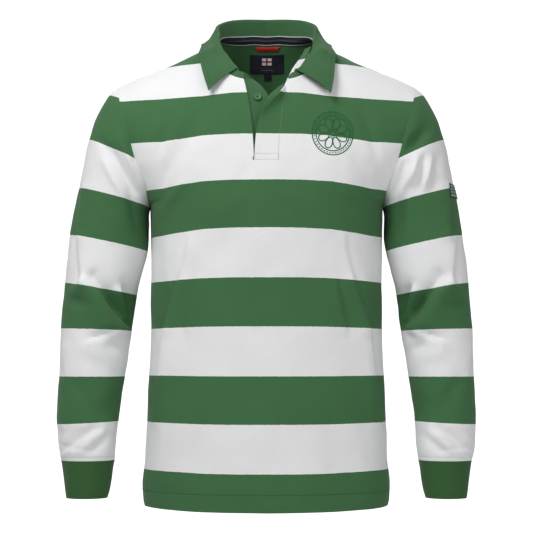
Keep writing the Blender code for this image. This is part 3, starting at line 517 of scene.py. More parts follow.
def fold_height(folds, x, z, fade=True):
    """The height of the soft folds at each place."""
    total = np.zeros(np.broadcast(x, z).shape)
    for x1, z1, x2, z2, width, height in folds:
        length2 = (x2 - x1) ** 2 + (z2 - z1) ** 2
        along = np.clip(((x - x1) * (x2 - x1) + (z - z1) * (z2 - z1)) / length2, 0, 1)
        away = np.hypot(x - mix(x1, x2, along), z - mix(z1, z2, along))
        ends = np.sin(np.pi * (0.15 + 0.7 * along)) if fade else 1.0
        total += height * ends * np.exp(-((away / width) ** 2))
    return total


def lap_height(laps, x, z):
    """Creases that lean over: a broad rise on the left of each line, a fall and a trough on its right."""
    total = np.zeros_like(x)
    for x1, z1, x2, z2, width, height in laps:
        length = math.hypot(x2 - x1, z2 - z1)
        ahead = ((x - x1) * (x2 - x1) + (z - z1) * (z2 - z1)) / length
        right = ((x - x1) * (z2 - z1) - (z - z1) * (x2 - x1)) / length / width
        beyond = np.maximum(np.maximum(-ahead, ahead - length), 0)
        rise = height * np.exp(-(right**2))
        fall = 2 * height * np.exp(-((right / 0.28) ** 2)) - height * np.exp(-((right / 0.9) ** 2))
        total += np.where(right < 0, rise, fall) * np.exp(-((beyond / LAP_END) ** 2))
    return total


def unevenness(grid, big, small, seed):
    """Slow random ups and downs, as in cloth that was worn and pressed, with smaller ones on them."""
    out = np.zeros(grid.shape[:2])
    for scale, height, start in ((15.0, big, seed), (45.0, small, seed + 1)):
        shift = Vector((start * 7.3, start * 3.1, start * 5.7))
        for i, row in enumerate(grid):
            out[i] += [noise.noise(Vector(point) * scale + shift) * height for point in row]
    return out


print("height in the middle of a 10 mm fold", fold_height(((0, 0, 1, 0, 0.1, 0.01),), 0.5, 0.0))

# %% [markdown]
# ## Folds of the body
# The broad folds come first in each table, then the narrow ones. The creases run up from the lower sides.

# %% Folds of the body
FRONT_FOLDS = (
    (-0.178, -0.232, -0.120, -0.135, 0.016, -0.0040),
    (0.180, -0.230, 0.128, -0.150, 0.017, -0.0038),
    (-0.142, -0.380, -0.176, -0.570, 0.020, 0.0034),
    (0.150, -0.370, 0.172, -0.560, 0.022, 0.0036),
    (-0.105, -0.600, -0.150, -0.720, 0.022, -0.0030),
    (0.095, -0.610, 0.148, -0.715, 0.024, -0.0032),
    (-0.030, -0.250, -0.085, -0.360, 0.024, -0.0022),
    (0.045, -0.240, 0.100, -0.345, 0.026, -0.0024),
    (-0.183, -0.200, -0.150, -0.110, 0.009, -0.0022),
    (0.186, -0.205, 0.150, -0.100, 0.010, -0.0024),
    (-0.168, -0.262, -0.128, -0.215, 0.008, 0.0016),
    (0.172, -0.268, 0.120, -0.222, 0.009, 0.0017),
    (-0.100, -0.080, -0.118, -0.150, 0.010, -0.0014),
    (0.108, -0.085, 0.122, -0.158, 0.011, -0.0015),
    (-0.024, -0.190, -0.060, -0.245, 0.010, -0.0012),
    (0.026, -0.188, 0.062, -0.238, 0.009, -0.0013),
    (-0.178, -0.300, -0.160, -0.430, 0.009, -0.0016),
    (0.179, -0.305, 0.167, -0.440, 0.010, -0.0018),
    (-0.162, -0.520, -0.170, -0.660, 0.010, 0.0013),
    (0.160, -0.530, 0.174, -0.650, 0.010, 0.0014),
)
BACK_FOLDS = (
    (-0.176, -0.236, -0.110, -0.140, 0.018, -0.0042),
    (0.178, -0.232, 0.122, -0.128, 0.017, -0.0040),
    (-0.120, -0.330, -0.165, -0.520, 0.023, 0.0036),
    (0.100, -0.345, 0.160, -0.540, 0.024, 0.0038),
    (0.030, -0.380, -0.080, -0.470, 0.025, -0.0034),
    (-0.060, -0.520, 0.060, -0.560, 0.025, -0.0030),
    (0.070, -0.600, 0.130, -0.720, 0.024, -0.0030),
    (-0.090, -0.590, -0.120, -0.715, 0.024, -0.0034),
    (-0.182, -0.205, -0.140, -0.100, 0.010, -0.0024),
    (0.184, -0.200, 0.145, -0.105, 0.010, -0.0023),
    (-0.165, -0.265, -0.100, -0.225, 0.010, 0.0018),
    (0.160, -0.270, 0.090, -0.235, 0.011, 0.0019),
    (-0.050, -0.320, 0.070, -0.350, 0.013, -0.0018),
    (-0.090, -0.420, 0.020, -0.450, 0.012, 0.0016),
    (0.080, -0.470, -0.030, -0.510, 0.012, -0.0017),
    (-0.172, -0.350, -0.150, -0.480, 0.010, -0.0018),
)
BODY_CREASES = (
    (0.1330, -0.3640, 0.1220, -0.3100, 0.012, 0.0010),
    (0.1560, -0.4435, 0.1350, -0.3700, 0.014, 0.0022),
    (0.1790, -0.5890, 0.1560, -0.4435, 0.014, 0.0022),
    (0.1230, -0.4420, 0.1085, -0.3780, 0.012, 0.0014),
)
BODY_DEPTH = 1.5
SEAM_EASE = 0.014


def add_folds(grid, folds, seed, turn=1):
    """Folds and unevenness along the panel's normals. They fade out at its seams."""
    x, z = grid[:, :, 0], grid[:, :, 2]
    ease = soft_step(to_edges(grid), 0, SEAM_EASE)
    sides = np.clip((np.abs(x[:, -1:]) - np.abs(x)) / 0.03, 0, 1)
    top = np.clip((-0.05 - z) / 0.06, 0, 1)
    height = fold_height(folds, x, z) * sides * top * BODY_DEPTH
    height += lap_height(BODY_CREASES, np.abs(x), z) * BODY_DEPTH * ease
    height += unevenness(grid, 0.0016, 0.0006, seed) * ease
    return grid + grid_normals(grid, turn=turn) * height[:, :, None]


print("folds placed by hand", len(FRONT_FOLDS) + len(BACK_FOLDS))

# %% [markdown]
# ## From grid to cloth
# A panel's mesh has faces between its grid points, a map in metres for the knitting, and values that its
# material reads. A Solidify modifier gives it its wall, and it takes the place of its solids.

# %% From grid to cloth
WALL = 0.0018


def only(chosen=None):
    """Leaves only this object selected and active."""
    bpy.ops.object.select_all(action="DESELECT")
    if chosen:
        chosen.select_set(True)
        bpy.context.view_layer.objects.active = chosen


def quads_of(shape, closed=False, mask=None):
    """Corner numbers of each face, on the mesh and on its map. The map is cut where the mesh closes."""
    rows, cols = shape
    i, j = np.meshgrid(np.arange(rows - 1), np.arange(cols if closed else cols - 1), indexing="ij")
    if mask is not None:
        i, j = i[mask], j[mask]
    i, j = i.ravel(), j.ravel()
    kinds = ((cols, (j + 1) % cols), (cols + closed, j + 1))
    return [np.stack([i * w + j, i * w + k, (i + 1) * w + k, (i + 1) * w + j], axis=1) for w, k in kinds]


def dress(piece, nodes):
    """Puts the piece on the shirt in place of its solids."""
    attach(piece, "root")
    if nodes:
        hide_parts(*nodes)


def make_cloth(name, grid, cloths, nodes, slot_name, closed=False, turn=1, wall=WALL, mask=None, **values):
    """Builds a panel from its grid. Each named value goes on its points."""
    shape = grid.shape[:2]
    corners, on_map = (each[:, ::turn] for each in quads_of(shape, closed, mask))
    around = lengths(grid, 1, closed)
    up = lengths(grid, 0)
    if closed:
        up = np.concatenate([up, up[:, :1]], axis=1)
    flat = np.stack([around - around.mean(axis=1, keepdims=True), up], axis=2).reshape(-1, 2)
    used, packed = np.unique(corners, return_inverse=True)
    mesh = bpy.data.meshes.new(name)
    mesh.from_pydata(grid.reshape(-1, 3)[used].tolist(), [], packed.reshape(-1, 4).tolist())
    layer = mesh.uv_layers.new(name="metres")
    layer.data.foreach_set("uv", flat[on_map.ravel()].ravel().astype(np.float32))
    for key, value in values.items():
        field = mesh.attributes.new(key, "FLOAT", "POINT")
        field.data.foreach_set("value", np.broadcast_to(value, shape).ravel()[used].astype(np.float32))
    for cloth in cloths:
        mesh.materials.append(cloth)
    made = bpy.data.objects.new(name, mesh)
    bpy.context.scene.collection.objects.link(made)
    only(made)
    solid = made.modifiers.new("wall", "SOLIDIFY")
    solid.thickness = wall
    solid.offset = -1
    solid.material_offset = len(cloths) - 1
    bpy.ops.object.modifier_apply(modifier="wall")
    bpy.ops.object.shade_smooth_by_angle(angle=math.radians(50))
    dress(made, nodes)
    print(name, len(made.data.polygons), "faces")
    return made


def tree_of(grid, closed=False, turn=1, mask=None):
    """The grid's surface, for casting rays at it."""
    corners = quads_of(grid.shape[:2], closed, mask)[0][:, ::turn]
    return BVHTree.FromPolygons([Vector(p) for p in grid.reshape(-1, 3)], corners.tolist())


print("wall", WALL * 1000, "mm")

# %% [markdown]
# ## Cloth in general
# What the cloths share: a base colour that shifts a little from place to place, a matt surface, and fine
# relief that sinks at rows of sewing and at seams. It follows the piece's own map in metres. The value
# line is the distance to a row of sewing, and seam is the distance to the panel's edge.

# %% Cloth in general
def new_material(name):
    made = bpy.data.materials.new(name)
    made.use_nodes = True
    return made, made.node_tree, made.node_tree.nodes["Principled BSDF"]


def map_metres(tree):
    """The panel's own map, across and along its knitting, in metres."""
    flat = add(tree, "UVMap", uv_map="metres")
    return add(tree, "SeparateXYZ", (flat,)), add(tree, "SeparateXYZ", (flat,), out=1)


def uneven(tree, size, detail=2.0):
    """Noise from 0 to 1 in space, with lumps of a size in metres."""
    place = add(tree, "TexCoord", out="Object")
    return add(tree, "TexNoise", {"Vector": place, "Scale": 1 / size, "Detail": detail}, out="Fac")


def shaded(tree, base, low, high, size):
    """The colour a little darker and lighter from place to place."""
    amount = add(tree, "Math", (uneven(tree, size), high - low, low), operation="MULTIPLY_ADD")
    plain = base if isinstance(base, bpy.types.NodeSocket) else base[:3]
    return add(tree, "VectorMath", {0: plain, 3: amount}, operation="SCALE")


def groove(tree, value_name, width):
    """From 0 away from a line to 1 in the middle of it."""
    value = add(tree, "Attribute", out="Fac", attribute_name=value_name)
    ratio = add(tree, "Math", (value, width), operation="DIVIDE")
    square = add(tree, "Math", (ratio, ratio), operation="MULTIPLY")
    negative = add(tree, "Math", (square, -1.0), operation="MULTIPLY")
    return add(tree, "Math", (negative,), operation="EXPONENT")


def relief(tree, shader, fine, fine_height):
    """Fine relief of the cloth, sunk at its rows of sewing and at its seams."""
    lumps = add(tree, "Math", (uneven(tree, 0.004, 3.0), 0.00016), operation="MULTIPLY")
    height = add(tree, "Math", (fine, fine_height, lumps), operation="MULTIPLY_ADD")
    for value_name, width, depth in (("line", 0.0011, 0.0004), ("seam", 0.0016, 0.0006)):
        sunk = groove(tree, value_name, width)
        height = add(tree, "Math", (sunk, -depth, height), operation="MULTIPLY_ADD")
    bump = add(tree, "Bump", {"Height": height, "Strength": 0.6, "Distance": 1.0})
    tree.links.new(bump, shader.inputs["Normal"])


def cotton(shader, roughness=0.94):
    """Matt, with the slight fuzz of cotton."""
    shader.inputs["Roughness"].default_value = roughness
    shader.inputs["Specular IOR Level"].default_value = 0.25
    shader.inputs["Sheen Weight"].default_value = 0.12
    shader.inputs["Sheen Roughness"].default_value = 0.5


print("materials so far", len(bpy.data.materials))

# %% [markdown]
# ## Jersey
# Heavy cotton jersey, knitted in hoops: matt, with a faint column of stitches (a wale) every 1.15 mm and
# a course every 0.9 mm. The hoops follow a value called band that each panel carries on its points, so
# they stay sharp and follow the knitting and not the surface. Even bands are green.

# %% Jersey
GREEN = colour("#4c7650")
WHITE = colour("#e9e9ea")
WALE = 0.00115
COURSE = 0.0009


def knit_height(tree):
    """Rows of V-shaped stitches, from 0 to 1."""
    across, along = map_metres(tree)
    wale = add(tree, "Math", (across, WALE), operation="DIVIDE")
    in_wale = add(tree, "Math", (wale,), operation="FRACT")
    signed = add(tree, "Math", (in_wale, 2.0, -1.0), operation="MULTIPLY_ADD")
    off = add(tree, "Math", (signed,), operation="ABSOLUTE")
    course = add(tree, "Math", (along, COURSE), operation="DIVIDE")
    slant = add(tree, "Math", (off, 0.45, course), operation="MULTIPLY_ADD")
    turn = add(tree, "Math", (slant, 2 * math.pi), operation="MULTIPLY")
    wave = add(tree, "Math", (turn,), operation="SINE")
    stitch = add(tree, "Math", (wave, 0.3, 0.7), operation="MULTIPLY_ADD")
    square = add(tree, "Math", (off, off), operation="MULTIPLY")
    ribs = add(tree, "Math", (1.0, square), operation="SUBTRACT")
    return add(tree, "Math", (ribs, stitch), operation="MULTIPLY")


def hoops(tree, patch=False):
    """Green on even bands and white on odd ones. The edge wavers by a stitch."""
    band = add(tree, "Attribute", out="Fac", attribute_name="band")
    place = add(tree, "Math", (uneven(tree, 0.0035, 0.0), 0.010, band), operation="MULTIPLY_ADD")
    whole = add(tree, "Math", (place,), operation="FLOOR")
    odd = add(tree, "Math", (whole, 2.0), operation="MODULO")
    if patch:
        lined = add(tree, "Attribute", out="Fac", attribute_name="patch")
        bare = add(tree, "Math", (lined, 0.5), operation="LESS_THAN")
        odd = add(tree, "Math", (odd, bare), operation="MULTIPLY")
    return add(tree, "Mix", {0: odd, 6: GREEN, 7: WHITE}, out=2, data_type="RGBA")


def make_jersey(name, patch=False):
    """Striped cotton jersey: no gloss, a slight fuzz, and stitches that show only close by."""
    made, tree, shader = new_material(name)
    base = shaded(tree, hoops(tree, patch), 0.94, 1.06, 0.0016)
    base = shaded(tree, base, 0.96, 1.03, 0.05)
    tree.links.new(base, shader.inputs["Base Color"])
    cotton(shader)
    relief(tree, shader, knit_height(tree), 0.00013)
    return made


jersey = make_jersey("striped_cotton_jersey")
jersey_inside = make_jersey("striped_cotton_jersey_inside", patch=True)
print("jersey", len(jersey.node_tree.nodes), "nodes")

# %% [markdown]
# ## Twill, rib and thread
# The collar and the button side of the placket are plain twill, with a fine diagonal line. The cuffs are
# a close rib whose columns hardly show. Thread is spun and matt, in one colour.

# %% Twill, rib and thread
def make_twill(name, code):
    """Matt green cotton, with a diagonal line every millimetre that shows only close by."""
    made, tree, shader = new_material(name)
    base = shaded(tree, colour(code), 0.93, 1.07, 0.0012)
    tree.links.new(shaded(tree, base, 0.96, 1.04, 0.03), shader.inputs["Base Color"])
    cotton(shader, 0.9)
    diagonal = add(tree, "Math", map_metres(tree), operation="ADD")
    slant = add(tree, "Math", (diagonal, 0.0010), operation="DIVIDE")
    turn = add(tree, "Math", (slant, 2 * math.pi), operation="MULTIPLY")
    relief(tree, shader, add(tree, "Math", (turn,), operation="SINE"), 0.00008)
    return made


def make_rib(name, code):
    """Matt and a little darker, with a column every 2.4 mm."""
    made, tree, shader = new_material(name)
    base = shaded(tree, colour(code), 0.92, 1.08, 0.0016)
    tree.links.new(base, shader.inputs["Base Color"])
    cotton(shader)
    turn = add(tree, "Math", (map_metres(tree)[0], 2 * math.pi / 0.0024), operation="MULTIPLY")
    relief(tree, shader, add(tree, "Math", (turn,), operation="SINE"), 0.00016)
    return made


def make_thread(name, code):
    """Spun thread: matt to half-matt and one colour, with its twist too fine to show."""
    made, tree, shader = new_material(name)
    tree.links.new(shaded(tree, colour(code), 0.88, 1.1, 0.0008), shader.inputs["Base Color"])
    shader.inputs["Roughness"].default_value = 0.7
    return made


twill = make_twill("green_cotton_twill", "#49714d")
rib = make_rib("green_cotton_rib", "#42673f")
green_thread = make_thread("green_polyester_thread", "#456a4c")
pale_thread = make_thread("pale_cotton_thread", "#cdd0cd")
print("cloths", twill.name, rib.name)

# %% [markdown]
# ## Hoops of the body
# The hoops are 76 mm deep. They sink towards the sides, and the placket pulls the top one up.

# %% Hoops of the body
LOWER_BANDS = (-0.742, -0.667, -0.5915, -0.5176, -0.4406, -0.3651)
BAND_Z = LOWER_BANDS + (-0.2882, -0.2142, -0.1419, -0.0818, -0.0206, 0.055)
DROOP = (
    (-0.730, -0.515, -0.440, -0.363, -0.290, -0.125, -0.082, -0.040),
    (-0.0030, -0.0010, 0.0020, 0.0040, 0.0090, 0.0090, 0.0010, 0.0),
)
PULL = ((-0.125, -0.082, -0.040), (0.0, 0.0075, 0.0))
AWAY = (0.055, 0.10, 0.164)


def body_band(x, z):
    """Which hoop a place on the body is in."""
    away = np.abs(x)
    droop = np.interp(z, *DROOP) * np.interp(away, AWAY, (0.0, 0.17, 1.0))
    pull = np.interp(z, *PULL) * np.interp(away, AWAY, (1.0, 0.4, 0.2))
    return np.interp(z + droop - pull, BAND_Z, np.arange(len(BAND_Z)))


print("the hem is in band", int(body_band(0.0, HEM_Z)))

# %% [markdown]
# ## Front panel
# One piece of jersey from hem to shoulder, cut down the middle for the placket. Simulation could drape it,
# but a filled-out shirt is held in shape from inside, so its sections are given and only the folds are
# added.

# %% Front panel
HEM_STITCH = 0.0275
SLIT_ROW = (BODY_STEPS + PLACKET_STEP) * FINE
SLIT_RIGHT = STEPS * FINE
SLIT_LEFT = (STEPS + CENTRE_STEPS) * FINE
HEM_LIFT = ((0.0, 0.10, 0.16, 0.19, 0.20), (0.0006, 0.0014, 0.0024, 0.0040, 0.0052))


def split_line(points, corners):
    """A smooth line through the points that keeps its corners."""
    parts = [finer(points[a : b + 1], FINE)[:-1] for a, b in zip(corners, corners[1:])]
    return np.concatenate(parts + [points[-1:]])


def round_hem(grid):
    """Lifts the hem a little towards its corners and draws its last few millimetres in."""
    out = grid.copy()
    up = grid[:, :, 2] - HEM_Z
    out[:, :, 2] += np.interp(np.abs(grid[:, :, 0]), *HEM_LIFT) * (1 - soft_step(up, 0.0, 0.05))
    out[:, :, 0] *= 1 - 0.008 * (1 - soft_step(up, 0.0, 0.009))
    return out


def smooth_panel(coarse, side_edge, corners):
    """The fine panel, with its side edges and its top edge where its neighbours have theirs."""
    fine = pull_edge(finer_grid(coarse), side_edge, "right")
    fine = pull_edge(fine, side_edge * FLIP, "left")
    return round_hem(pull_edge(fine, split_line(coarse[-1], corners), "top"))


def slit_mask(shape):
    """All faces but those in the cut for the placket."""
    mask = np.ones((shape[0] - 1, shape[1] - 1), bool)
    mask[SLIT_ROW:, SLIT_RIGHT:SLIT_LEFT] = False
    return mask


front_corners = (0, NECK_STEPS, STEPS, STEPS + 3, STEPS + 3 + NECK_STEPS, 2 * STEPS + 3)
front_panel = add_folds(smooth_panel(front_points, front_side, front_corners), FRONT_FOLDS, 1)
slit = slit_mask(front_panel.shape)
front = make_cloth(
    "front_panel",
    front_panel,
    [jersey],
    ["front"],
    "striped_jersey",
    mask=slit,
    band=body_band(front_panel[:, :, 0], front_panel[:, :, 2]),
    line=front_panel[:, :, 2] - HEM_Z - HEM_STITCH,
    seam=to_edges(front_panel),
)

# %% [markdown]
# ## Back panel
# It comes over the shoulders to a seam that lies in front of their tops, so a sliver of its own hoops
# shows there. Inside, a half moon of plain green cloth lines it below the neck. It is made like the
# front, and the half moon is a value on its points, because a second layer of cloth would show only its
# edge.

# %% Back panel
def half_moon(x, z):
    return (1.0 - np.hypot(x / 0.088, (z - 0.045) / 0.150) > 0).astype(float)


back_corners = (0, NECK_STEPS, NECK_STEPS + STEPS, 2 * STEPS)
back_panel = add_folds(smooth_panel(back_points, back_side, back_corners), BACK_FOLDS, 5, turn=-1)
back_x, back_z = back_panel[:, :, 0], back_panel[:, :, 2]
shoulder_shift = 0.024 * soft_step(np.abs(back_x), 0.12, 0.22) * soft_step(back_z, -0.13, -0.05)
back = make_cloth(
    "back_panel",
    back_panel,
    [jersey, jersey_inside],
    ["back"],
    "striped_jersey",
    turn=-1,
    band=body_band(back_x, back_z + shoulder_shift),
    line=back_z - HEM_Z - HEM_STITCH,
    seam=to_edges(back_panel),
    patch=half_moon(back_x, back_z),
)

# %% [markdown]
# ## Rings of the sleeves
# A sleeve is a row of rings, each set by its outer and inner point and its depth in front and behind.

# %% Rings of the sleeves
SLEEVE_FINE = 12
RING_COLUMNS = "outer_x outer_z inner_x inner_z front back centre_y"
SLEEVE_ROWS = (
    (0.2400, -0.0500, 0.1885, -0.2480, 0.0760, 0.0700, 0.0000),
    (0.2535, -0.0620, 0.1898, -0.2520, 0.0765, 0.0705, 0.0000),
    (0.2665, -0.0805, 0.1903, -0.2560, 0.0765, 0.0710, 0.0000),
    (0.2785, -0.1040, 0.1905, -0.2610, 0.0760, 0.0710, 0.0000),
    (0.2865, -0.1310, 0.1905, -0.2670, 0.0745, 0.0705, 0.0000),
    (0.2942, -0.1640, 0.1905, -0.2750, 0.0725, 0.0700, 0.0000),
    (0.3018, -0.2010, 0.1906, -0.2860, 0.0700, 0.0690, 0.0000),
    (0.3095, -0.2420, 0.1910, -0.3020, 0.0675, 0.0670, -0.0005),
    (0.3165, -0.2860, 0.1936, -0.3220, 0.0650, 0.0650, -0.0015),
    (0.3225, -0.3360, 0.2000, -0.3480, 0.0625, 0.0620, -0.0030),
    (0.3268, -0.3860, 0.2090, -0.3880, 0.0600, 0.0590, -0.0060),
    (0.3300, -0.4390, 0.2155, -0.4390, 0.0570, 0.0560, -0.0100),
    (0.3312, -0.4910, 0.2232, -0.4910, 0.0545, 0.0530, -0.0150),
    (0.3330, -0.5430, 0.2305, -0.5430, 0.0515, 0.0500, -0.0210),
    (0.3325, -0.5945, 0.2365, -0.5945, 0.0485, 0.0465, -0.0280),
    (0.3298, -0.6285, 0.2385, -0.6275, 0.0460, 0.0440, -0.0330),
    (0.3250, -0.6505, 0.2405, -0.6500, 0.0415, 0.0405, -0.0360),
)


def fine_angles():
    """Angles round a ring, one for each point of the armhole, from the underarm up the front."""
    top = 2 * math.acos(top_of_front(STEPS)[1])
    front_part = top * np.arange(over + 1) / over
    back_part = 2 * math.pi - (2 * math.pi - top) * np.arange(over - 1, 0, -1) / over
    return np.concatenate([front_part, back_part])


def ring_point(row, angle):
    """A point of a ring. Angle 0 is inside, a half turn outside, the first half in front."""
    ring = dict(zip(RING_COLUMNS.split(), row))
    up = (1 - math.cos(angle)) / 2
    side = math.sin(angle)
    y = ring["centre_y"] - ring["front" if side > 0 else "back"] * side
    return mix(ring["inner_x"], ring["outer_x"], up), y, mix(ring["inner_z"], ring["outer_z"], up)


def rings(rows):
    fine_rows = finer(np.array(rows), SLEEVE_FINE)
    return np.array([[ring_point(row, angle) for angle in fine_angles()] for row in fine_rows])


print("points round a ring", len(fine_angles()))

# %% [markdown]
# ## Folds of the sleeves
# The first table goes by turn round the sleeve and share down it. The others are placed in front, as
# seen: laps that lean over the bend of the elbow, and folds on both arms and then on one.

# %% Folds of the sleeves
TURN_TO_METRES = 0.36
SHARE_TO_METRES = 0.62
ARM_FOLD_DEPTH = 2.3
ARM_CREASE_DEPTH = 1.3
TURN_FOLDS = (
    (0.10, 0.84, 0.42, 0.90, 0.014, -0.0024),
    (0.96, 0.36, 0.72, 0.44, 0.016, -0.0034),
    (0.97, 0.57, 0.68, 0.60, 0.017, -0.0042),
    (0.90, 0.70, 0.62, 0.76, 0.016, 0.0030),
    (0.92, 0.92, 0.66, 0.90, 0.011, -0.0024),
    (0.14, 0.87, 0.38, 0.88, 0.007, 0.0014),
    (0.22, 0.95, 0.44, 0.93, 0.006, -0.0014),
    (0.90, 0.24, 0.66, 0.38, 0.008, -0.0018),
    (0.92, 0.50, 0.70, 0.55, 0.008, -0.0017),
    (0.94, 0.64, 0.64, 0.68, 0.008, 0.0015),
    (0.88, 0.88, 0.60, 0.87, 0.007, -0.0015),
)
ARM_LAPS = (
    (0.2898, -0.3711, 0.2985, -0.2968, 0.018, 0.0022),
    (0.2860, -0.3700, 0.2300, -0.4385, 0.026, 0.0088),
    (0.3182, -0.5148, 0.3225, -0.4753, 0.012, 0.0012),
    (0.2290, -0.3850, 0.2170, -0.4250, 0.013, 0.0042),
    (0.2760, -0.4640, 0.2420, -0.4520, 0.012, 0.0026),
    (0.3150, -0.6380, 0.2620, -0.6080, 0.014, 0.0016),
)
SIDE_LAPS = {
    "right": ((0.2985, -0.2968, 0.2934, -0.2210, 0.016, 0.0018),),
    "left": ((0.2890, -0.2936, 0.2879, -0.2178, 0.016, 0.0024),),
}
ARM_FOLDS = (
    (0.3166, -0.3964, 0.2819, -0.4040, 0.011, -0.0026),
    (0.2503, -0.3920, 0.2234, -0.4300, 0.014, -0.0044),
    (0.2250, -0.3695, 0.2123, -0.4106, 0.008, -0.0026),
    (0.2708, -0.4564, 0.2313, -0.4532, 0.007, -0.0024),
    (0.2550, -0.4620, 0.2282, -0.4785, 0.008, -0.0020),
    (0.2850, -0.4750, 0.2500, -0.4900, 0.010, 0.0012),
    (0.3050, -0.5200, 0.2700, -0.5750, 0.012, -0.0016),
    (0.2600, -0.5900, 0.2980, -0.6250, 0.009, -0.0022),
    (0.2900, -0.6050, 0.3180, -0.6330, 0.007, -0.0018),
    (0.2480, -0.6100, 0.2750, -0.6380, 0.007, -0.0018),
    (0.2700, -0.6080, 0.2900, -0.6360, 0.006, 0.0014),
)
SIDE_FOLDS = {
    "right": (
        (0.2439, -0.1593, 0.2076, -0.2257, 0.007, -0.0030),
        (0.2313, -0.1435, 0.2013, -0.2146, 0.006, 0.0022),
        (0.2629, -0.1435, 0.2187, -0.2194, 0.008, -0.0026),
        (0.2560, -0.1800, 0.2230, -0.2400, 0.007, 0.0018),
        (0.2150, -0.2300, 0.2050, -0.2900, 0.008, -0.0026),
    ),
    "left": (
        (0.2285, -0.2131, 0.2364, -0.1767, 0.006, 0.0030),
        (0.2490, -0.2178, 0.2601, -0.1767, 0.007, 0.0028),
        (0.2395, -0.2200, 0.2490, -0.1751, 0.006, -0.0028),
        (0.2105, -0.2352, 0.2285, -0.1925, 0.006, 0.0024),
        (0.2016, -0.2257, 0.2174, -0.1830, 0.006, -0.0028),
        (0.2245, -0.1609, 0.2522, -0.1293, 0.010, -0.0044),
        (0.2620, -0.2250, 0.2730, -0.1700, 0.008, -0.0020),
        (0.2150, -0.2450, 0.2080, -0.2900, 0.008, -0.0026),
    ),
}


def sleeve_with_folds(grid, side, seed):
    share = (np.arange(len(grid)) / (len(grid) - 1))[:, None]
    turn = (fine_angles() / (2 * math.pi))[None]
    scale = np.array((TURN_TO_METRES, SHARE_TO_METRES, TURN_TO_METRES, SHARE_TO_METRES, 1, 1))
    around, along = turn * TURN_TO_METRES, share * SHARE_TO_METRES
    height = fold_height(np.array(TURN_FOLDS) * scale, around, along, fade=False)
    inside = soft_step(np.cos(turn * 2 * math.pi), 0.6, 0.95) * (1 - soft_step(share, 0.5, 0.68))
    height *= (1 - 0.7 * inside) * np.clip(share / 0.18, 0, 1) * np.clip((1 - share) / 0.05, 0, 1)
    down = lengths(grid, 0)
    rough = unevenness(grid, 0.0018, 0.0007, seed)
    height += rough * soft_step(np.minimum(down, down[-1:] - down), 0, SEAM_EASE)
    outward = grid_normals(grid, closed=True)
    outward *= np.sign((outward * (grid - grid.mean(axis=1, keepdims=True))).sum(axis=2, keepdims=True))
    x, z = grid[:, :, 0], grid[:, :, 2]
    seen = fold_height(ARM_FOLDS + SIDE_FOLDS[side], x, z) * ARM_FOLD_DEPTH
    seen += lap_height(ARM_LAPS + SIDE_LAPS[side], x, z) * ARM_CREASE_DEPTH
    in_front = soft_step(-outward[:, :, 1], 0.0, 0.35)
    seen *= in_front * np.clip(share / 0.06, 0, 1) * np.clip((1 - share) / 0.04, 0, 1)
    return grid + outward * (height + seen)[:, :, None]


print("laps on a sleeve", len(ARM_LAPS) + 1)

# %% [markdown]
# ## Sleeves
# Tubes of the same jersey, set into the armholes and gathered a little at the wrists. Each could be a
# bent cylinder, but rings give the photo's outline on both sides. The hoops slope with the upper arm.

# %% Sleeves
SEAM_RINGS = 4
SLEEVE_CENTRE_X = 0.285
WRIST_STITCH = 0.0065
BANDS = table(
    "z slope",
    (-0.7370, -0.05),
    (-0.6640, -0.05),
    (-0.5910, -0.05),
    (-0.5182, 0.00),
    (-0.4430, 0.03),
    (-0.3750, 0.17),
    (-0.2974, 0.21),
    (-0.2206, 0.27),
    (-0.1380, 0.47),
    (-0.0494, 0.50),
    (0.0300, 0.50),
)


def sleeve_band(x, z):
    """Which band a place on a sleeve is in. Each band's edge has its own slope."""
    level = z
    for _ in range(8):
        level = z - np.interp(level, BANDS["z"], BANDS["slope"]) * (np.abs(x) - SLEEVE_CENTRE_X)
    return np.interp(level, BANDS["z"], np.arange(len(BANDS["z"])))


def sleeve_smooth():
    """The sleeve without folds, drawn onto the armhole at its top."""
    grid = rings(SLEEVE_ROWS)
    fade = np.clip(1 - np.arange(len(grid)) / SLEEVE_FINE / SEAM_RINGS, 0, 1) ** 2
    return grid + (armhole_ring - grid[0])[None] * fade[:, None, None]


sleeve_flat = sleeve_smooth()
sleeve_points = {
    "left": sleeve_with_folds(sleeve_flat, "left", 11),
    "right": sleeve_with_folds(sleeve_flat, "right", 23) * FLIP,
}
TURNS = {"left": -1, "right": 1}
for side, grid in sleeve_points.items():
    down = lengths(grid, 0)
    make_cloth(
        "sleeve_" + side + "_cloth",
        grid,
        [jersey],
        ["sleeve_" + side],
        "striped_jersey",
        closed=True,
        turn=TURNS[side],
        band=sleeve_band(grid[:, :, 0], grid[:, :, 2]),
        line=down[-1:] - down - WRIST_STITCH,
        seam=np.minimum(down, down[-1:] - down),
    )

# %% [markdown]
# ## Cuffs
# Close-fitting bands of doubled rib, sewn to the sleeve's end, which blouses over them a little. They are
# more rings, because they carry on the sleeve's own line.

# %% Cuffs
CUFF_ROWS = (
    SLEEVE_ROWS[-1],
    (0.3226, -0.6640, 0.2428, -0.6625, 0.0395, 0.0385, -0.0370),
    (0.3198, -0.6830, 0.2448, -0.6805, 0.0370, 0.0360, -0.0390),
    (0.3178, -0.6980, 0.2475, -0.6965, 0.0350, 0.0340, -0.0405),
    (0.3160, -0.7092, 0.2510, -0.7090, 0.0330, 0.0320, -0.0415),
)
cuff_flat = rings(CUFF_ROWS)
for side, grid in (("left", cuff_flat), ("right", cuff_flat * FLIP)):
    make_cloth(
        "cuff_" + side + "_rib",
        grid,
        [rib],
        ["cuff_" + side],
        "ribbing",
        closed=True,
        turn=TURNS[side],
        wall=0.0024,
        line=1.0,
        seam=lengths(grid, 0),
    )

